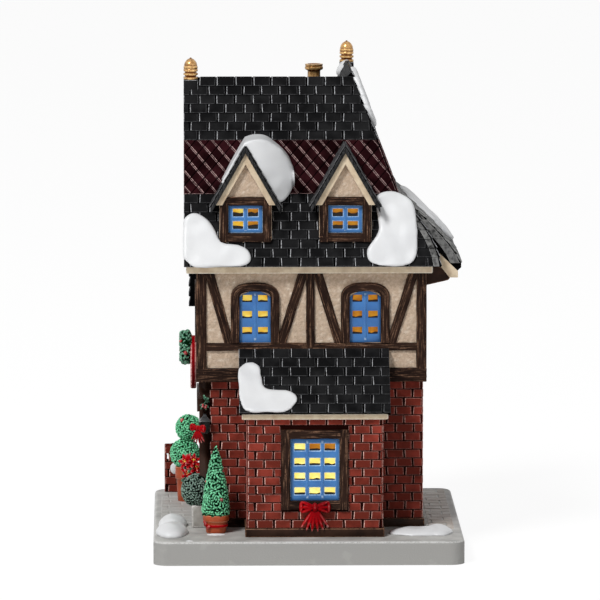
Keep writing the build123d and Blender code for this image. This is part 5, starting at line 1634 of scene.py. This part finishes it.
# %% Bows on the window and the lantern
bow_low, bow_high = box("window_bow")
knot = Vector(((bow_low.x + bow_high.x) / 2, bow_high.y - 0.6, bow_high.z - 2.9))
piece("window_bow_tied", bow(knot, along_x, near, 6.0), paints["ribbon"], ["window_bow"],
      smooth=60)
bow_low, bow_high = box("lantern_bow")
lamp_out = Vector((-0.7, -0.714, 0))
lamp_right = Vector((0.714, -0.7, 0))
knot = Vector((bow_low.x + 1.5, (bow_low.y + bow_high.y) / 2 - 1.0, bow_high.z + 1.0))
piece("lantern_bow_tied", bow(knot, lamp_right, lamp_out, 3.9), paints["ribbon"],
      ["lantern_bow"], smooth=60)

# %% Ribbon round the cone's pot
pot_low, pot_high = box("cone_pot")
pot_middle = (pot_low + pot_high) / 2
band_balls = 40
band_radius = 0.86 * (pot_high.x - pot_low.x) / 2
band_z = between((pot_low.z, pot_high.z), 0.42)
balls = []
for index in range(band_balls):
    angle = 2 * math.pi * index / band_balls
    rim_way = Vector((math.cos(angle), math.sin(angle), 0))
    middle = pot_middle + rim_way * band_radius + up * (band_z - pot_middle.z)
    balls.append((middle, rim_way.cross(up), rim_way, 0.9, 0.7, 0.45))
tie_way = Vector((-0.75, -0.66, 0))
tie_side = tie_way.cross(up)
tie = Vector((pot_middle.x, pot_middle.y, band_z + 0.4)) + tie_way * (band_radius + 0.5)
for side in (-1, 1):
    balls.append((tie + up * (0.9 * side) + tie_side * side, up + tie_side * side, tie_way, 1.3, 0.7, 0.6))
piece("pot_ribbon", pinched(balls), paints["ribbon"], smooth=60)

# %% Poinsettias in the window box
petal_out = 0.55
petal_wide = 0.24
petal_deep = 0.12


def flower(balls, middle, facing, radius, petals, lift, twist):
    """Adds a ring of petals that faces one way and is cupped by its lift."""
    right = facing.cross(up).normalized()
    over = right.cross(facing)
    for index in range(petals):
        angle = twist + 2 * math.pi * index / petals
        axis = right * math.cos(angle) + over * math.sin(angle) + facing * lift
        balls.append((middle + axis * radius * petal_out, axis, facing,
                      radius * petal_out, radius * petal_wide, radius * petal_deep))


bloom_low, bloom_high = box("poinsettias")
blooms = [((0.15, 0.06, 0.92), (-0.5, -0.9, 0.3)), ((0.85, 0.0, 0.72), (0.1, -1.0, 0.4)),
          ((0.1, 0.3, 0.85), (-1.0, -0.3, 0.5)), ((0.1, 0.58, 0.8), (-1.0, 0.2, 0.5)),
          ((0.2, 0.88, 0.74), (-0.8, 0.5, 0.5)), ((0.3, 0.02, 0.5), (-0.3, -1.0, 0.2)),
          ((0.62, 0.0, 0.95), (0.1, -0.9, 0.6))]
petals, leaves, hearts = [], [], []
for number, (share, way) in enumerate(blooms):
    facing = Vector(way).normalized()
    middle = bloom_low + Vector([s * size for s, size in zip(share, bloom_high - bloom_low)])
    flower(petals, middle, facing, 3.4, 6, 0.15, 0.3 * number)
    flower(petals, middle + facing * 0.5, facing, 2.1, 5, 0.4, 0.5 + 0.3 * number)
    flower(leaves, middle - facing * 0.9 - up * 1.6, facing, 3.8, 5, 0.0, 0.9 * number)
    flower(hearts, middle + facing * 1.5, facing, 0.95, 4, 0.4, 0.2)
bank = Vector(((bloom_low.x + bloom_high.x) / 2 + 0.6, (bloom_low.y + bloom_high.y) / 2, bloom_low.z))
leaves.append((bank, along_y, up, 8.6, 2.0, 7.5))
piece("poinsettia_leaves", pinched(leaves, 0.32, 2), paints["holly"], ["poinsettias"],
      smooth=60)
piece("poinsettia_petals", pinched(petals, 0.24, 1), paints["ribbon"], smooth=60)
piece("poinsettia_hearts", pinched(hearts, 0.2, 1), paints["heart"], smooth=60)

# %% [markdown]
# ## Snow and holly that were added last
# Some snow was dabbed on with a brush: at the foot of the far finial, on the shoulder of the yard pier,
# under the pot and on the pavement. A sprig of holly hangs over the lantern. All are made like the ribbons.

# %% Dabs of snow
base_low, base_high = box("base_slab")
ridge_end = Vector((main_ridge_x, far_verge_y - 8.0, main_ridge_z))
pier_shoulder = Vector(((pier_low.x + pier_high.x) / 2, pier_low.y - 0.2,
                        between((pier_low.z, pier_high.z), 0.52)))
dabs = [
    (ridge_end + Vector((-1.6, 0, -3.1)), (4.0, 0, 5.4), (-1, 0, 0.74), 4.2, 6.0, 2.2),
    (ridge_end + Vector((2.2, -2.0, -4.4)), along_x, up, 1.5, 2.0, 0.9),
    (pier_shoulder, up, near, 2.8, 2.2, 1.0),
    (Vector((pot_middle.x, pot_low.y - 0.6, pot_low.z)), along_x, up, 4.2, 2.0, 0.5),
    (Vector((pot_middle.x - 11.0, base_low.y + 1.6, pot_low.z)), along_x, up, 1.8, 0.8, 0.4),
]
piece("snow_dabs", pinched(dabs, 0.4, 4), paints["snow"], smooth=180)

# %% Holly over the lantern
lamp_high = box("lantern")[1]
sprig = Vector((lamp_high.x - 2.6, lamp_high.y - 1.0, lamp_high.z + 4.4))
leaves, fruit = [], []
dice = random.Random(4)
for index in range(12):
    away = Vector((dice.uniform(-1, 1), -dice.uniform(0.1, 0.8), dice.uniform(-1.2, 1.2)))
    leaves.append((sprig + Vector((away.x * 1.3, away.y * 0.8, away.z * 2.4)), away, near, 1.2, 0.55, 0.4))
    if index % 3 == 0:
        fruit.append((sprig + Vector((away.x * 1.2, away.y - 0.7, away.z * 2.2)), up, near, 0.55, 0.55, 0.55))
piece("holly_sprig", pinched(leaves, 0.22, 1), paints["holly"], smooth=60)
piece("holly_fruit", pinched(fruit, 0.16, 1), paints["berry"], smooth=60)

# %% [markdown]
# ## Turned pieces
# The finials and the chimney pot were turned, so each is one outline spun round its axis. An outline is a
# list of rings, given in shares of the casting's half width and height, with how strongly each ring takes a
# painted highlight. The other rings get a dark painted reflection.

# %% Finials and chimney pot
turned_sides = 28
turned_shade = 0.8
# In both outlines the third value of a ring is its painted highlight; rings without one get a dark painted
# reflection.
finial_rings = [
    (0.9, 0.0, 0), (1.0, 0.03, 1), (1.0, 0.1, 1), (0.84, 0.13, 0), (0.78, 0.16, 0), (0.86, 0.19, 0),
    (1.0, 0.21, 1), (1.0, 0.28, 1), (0.82, 0.31, 0), (0.8, 0.34, 0), (0.98, 0.37, 1), (1.0, 0.44, 1),
    (0.94, 0.47, 0), (0.98, 0.5, 0.6), (0.97, 0.58, 1), (0.9, 0.62, 0.1), (0.9, 0.66, 0.6),
    (0.82, 0.74, 0.7), (0.66, 0.82, 0.7), (0.44, 0.885, 0.5), (0.2, 0.92, 0.2), (0.12, 0.93, 0),
    (0.13, 0.95, 0), (0.03, 0.965, 0),
]
chimney_rings = [(0.74, 0.0, 0.2), (0.7, 0.25, 0.7), (0.7, 0.5, 0.5), (0.72, 0.56, 0), (0.84, 0.6, 0),
                 (0.96, 0.64, 0.4), (1.0, 0.69, 1), (1.0, 0.82, 1), (0.93, 0.85, 0), (0.97, 0.89, 0.6),
                 (0.97, 1.0, 1), (0.7, 1.0, 0.4), (0.66, 0.7, 0)]


def turned(corners, rings):
    low, high = corners
    half = (high.x - low.x) / 2
    sized = [(share * half, between((low.z, high.z), height), worn) for share, height, worn in rings]
    spun = turned_lump("turned", sized, turned_sides, turned_shade)
    spun.transform(Matrix.Translation(((low.x + high.x) / 2, (low.y + high.y) / 2, 0)))
    return spun


finials = joined([turned(corners, finial_rings) for corners in islands("finials")])
piece("finials_turned", finials, paints["copper"], ["finials"], smooth=50)
chimney_pot = turned(box("chimney_pot"), chimney_rings)
piece("chimney_pot_turned", chimney_pot, paints["copper"], ["chimney_pot"], smooth=50)

# %% [markdown]
# ## The yard
# The slab's top is scored into flags beside and behind the house, with a pale kerb along the rear wall. The
# slab's sides are painted darker than its top as painted shade, and its rounded edge takes the brush.

# %% Flags and kerb
flag_long = 10.5
flag_deep = 7.5
flag_gap = 0.5
flag_sunk = 0.12
yard_in = 3.0
kerb_in = ground_high.x + 1.3
kerb_out = ground_high.x + 2.6
kerb_sunk = 0.1
flag_z = base_high.z - flag_sunk
dice = random.Random(12)


def flags(left, right, low, high):
    cells = []
    rows = round((high - low) / flag_deep)
    step = (high - low) / rows
    for row in range(rows):
        foot = low + row * step + flag_gap / 2
        for cell in course((left, left), (right, right), flag_long, flag_gap, row, dice):
            cells.append([Vector((u, foot + t * (step - flag_gap), flag_z)) for u, t in cell])
    return cells


def paved(name, cells, label, tint):
    mesh = raised(cells, paints[label], 0.12, 0.14, unevenness=0.12, crown=0.94, other=0.4, tint=tint)
    piece(name, mesh)


cells = flags(ground_high.x + 3.0, base_high.x - yard_in, base_low.y + 30.0, base_high.y - 6.0)
paved("rear_flags", cells, "flag", 0.7)
cells = flags(ground_low.x + 2.0, ground_high.x, ground_high.y + 3.0, base_high.y - yard_in)
cells += flags(base_low.x + yard_in, ground_low.x - 7.0, -22.0, ground_high.y)
cells += flags(ground_low.x, main_front_x - 1.0, wing_far_y + 2.0, ground_high.y + 2.0)
paved("yard_flags", cells, "pavement", 0.5)
kerb = rectangle(lambda x, y, z: Vector((x, y, z)), kerb_in, kerb_out, ground_low.y, ground_high.y,
                 base_high.z - kerb_sunk)
mesh = raised([kerb], paints["stone"], 0.5, 0.3, unevenness=0.0, crown=0.99, other=1.0)
piece("kerb", mesh)

# %% Sides and edge of the slab
edge_tilt = 0.6
edge_reach = 0.25
side_shade = 0.85
slab_tree = paints["slab"].node_tree
slab_place = add(slab_tree, "ShaderNodeTexCoord", {})
slab_facing = add(slab_tree, "ShaderNodeSeparateXYZ", {"Vector": slab_place.outputs["Normal"]})
slanted = add(slab_tree, "ShaderNodeMath", {0: slab_facing.outputs["Z"], 1: edge_tilt, 2: edge_reach},
              operation="COMPARE")
# Surfaces that face sideways are darkened: painted shade on the slab's sides.
upright_shade = add(slab_tree, "ShaderNodeMapRange",
              {"Value": slab_facing.outputs["Z"], "From Min": 0.3, "From Max": 0.9, "To Min": side_shade,
               "To Max": 0.0})
slab_tree.links.new(out(slanted), slab_tree.nodes["mix"].inputs["Wear and highlight"])
slab_tree.links.new(out(upright_shade), slab_tree.nodes["mix"].inputs["Tint"])

# %% [markdown]
# ## Paint on the castings that stay as they are
# Shells under the slates and bricks, and the lamp unit under the floor, keep their casting and only need
# paint.

# %% Paint the remaining castings
kept = {
    "slab": ["base_slab"],
    "mortar": ["ground_floor_walls", "lean_to_walls", "chimney_stack", "brick_pier"],
    "stucco": ["upper_storey_walls", "front_gable_wall", "far_gable_wall"],
    "gap": ["roof_shell", "lean_to_roof", "dormer_roofs", "gable_skirt"],
    "tray": ["battery_cover", "switch_body", "switch_slider", "led_post"],
    "steel": ["contact_plates", "contact_springs"],
    "wrap": ["battery_cells"],
    "board": ["led_board"],
    "lens": ["led_lens"],
    "wire": ["lead_wires"],
}
for label, nodes in kept.items():
    for node in nodes:
        mesh = bpy.data.objects[node].data
        mesh.materials.clear()
        mesh.materials.append(paints[label])
    print(label, "on", ", ".join(nodes))
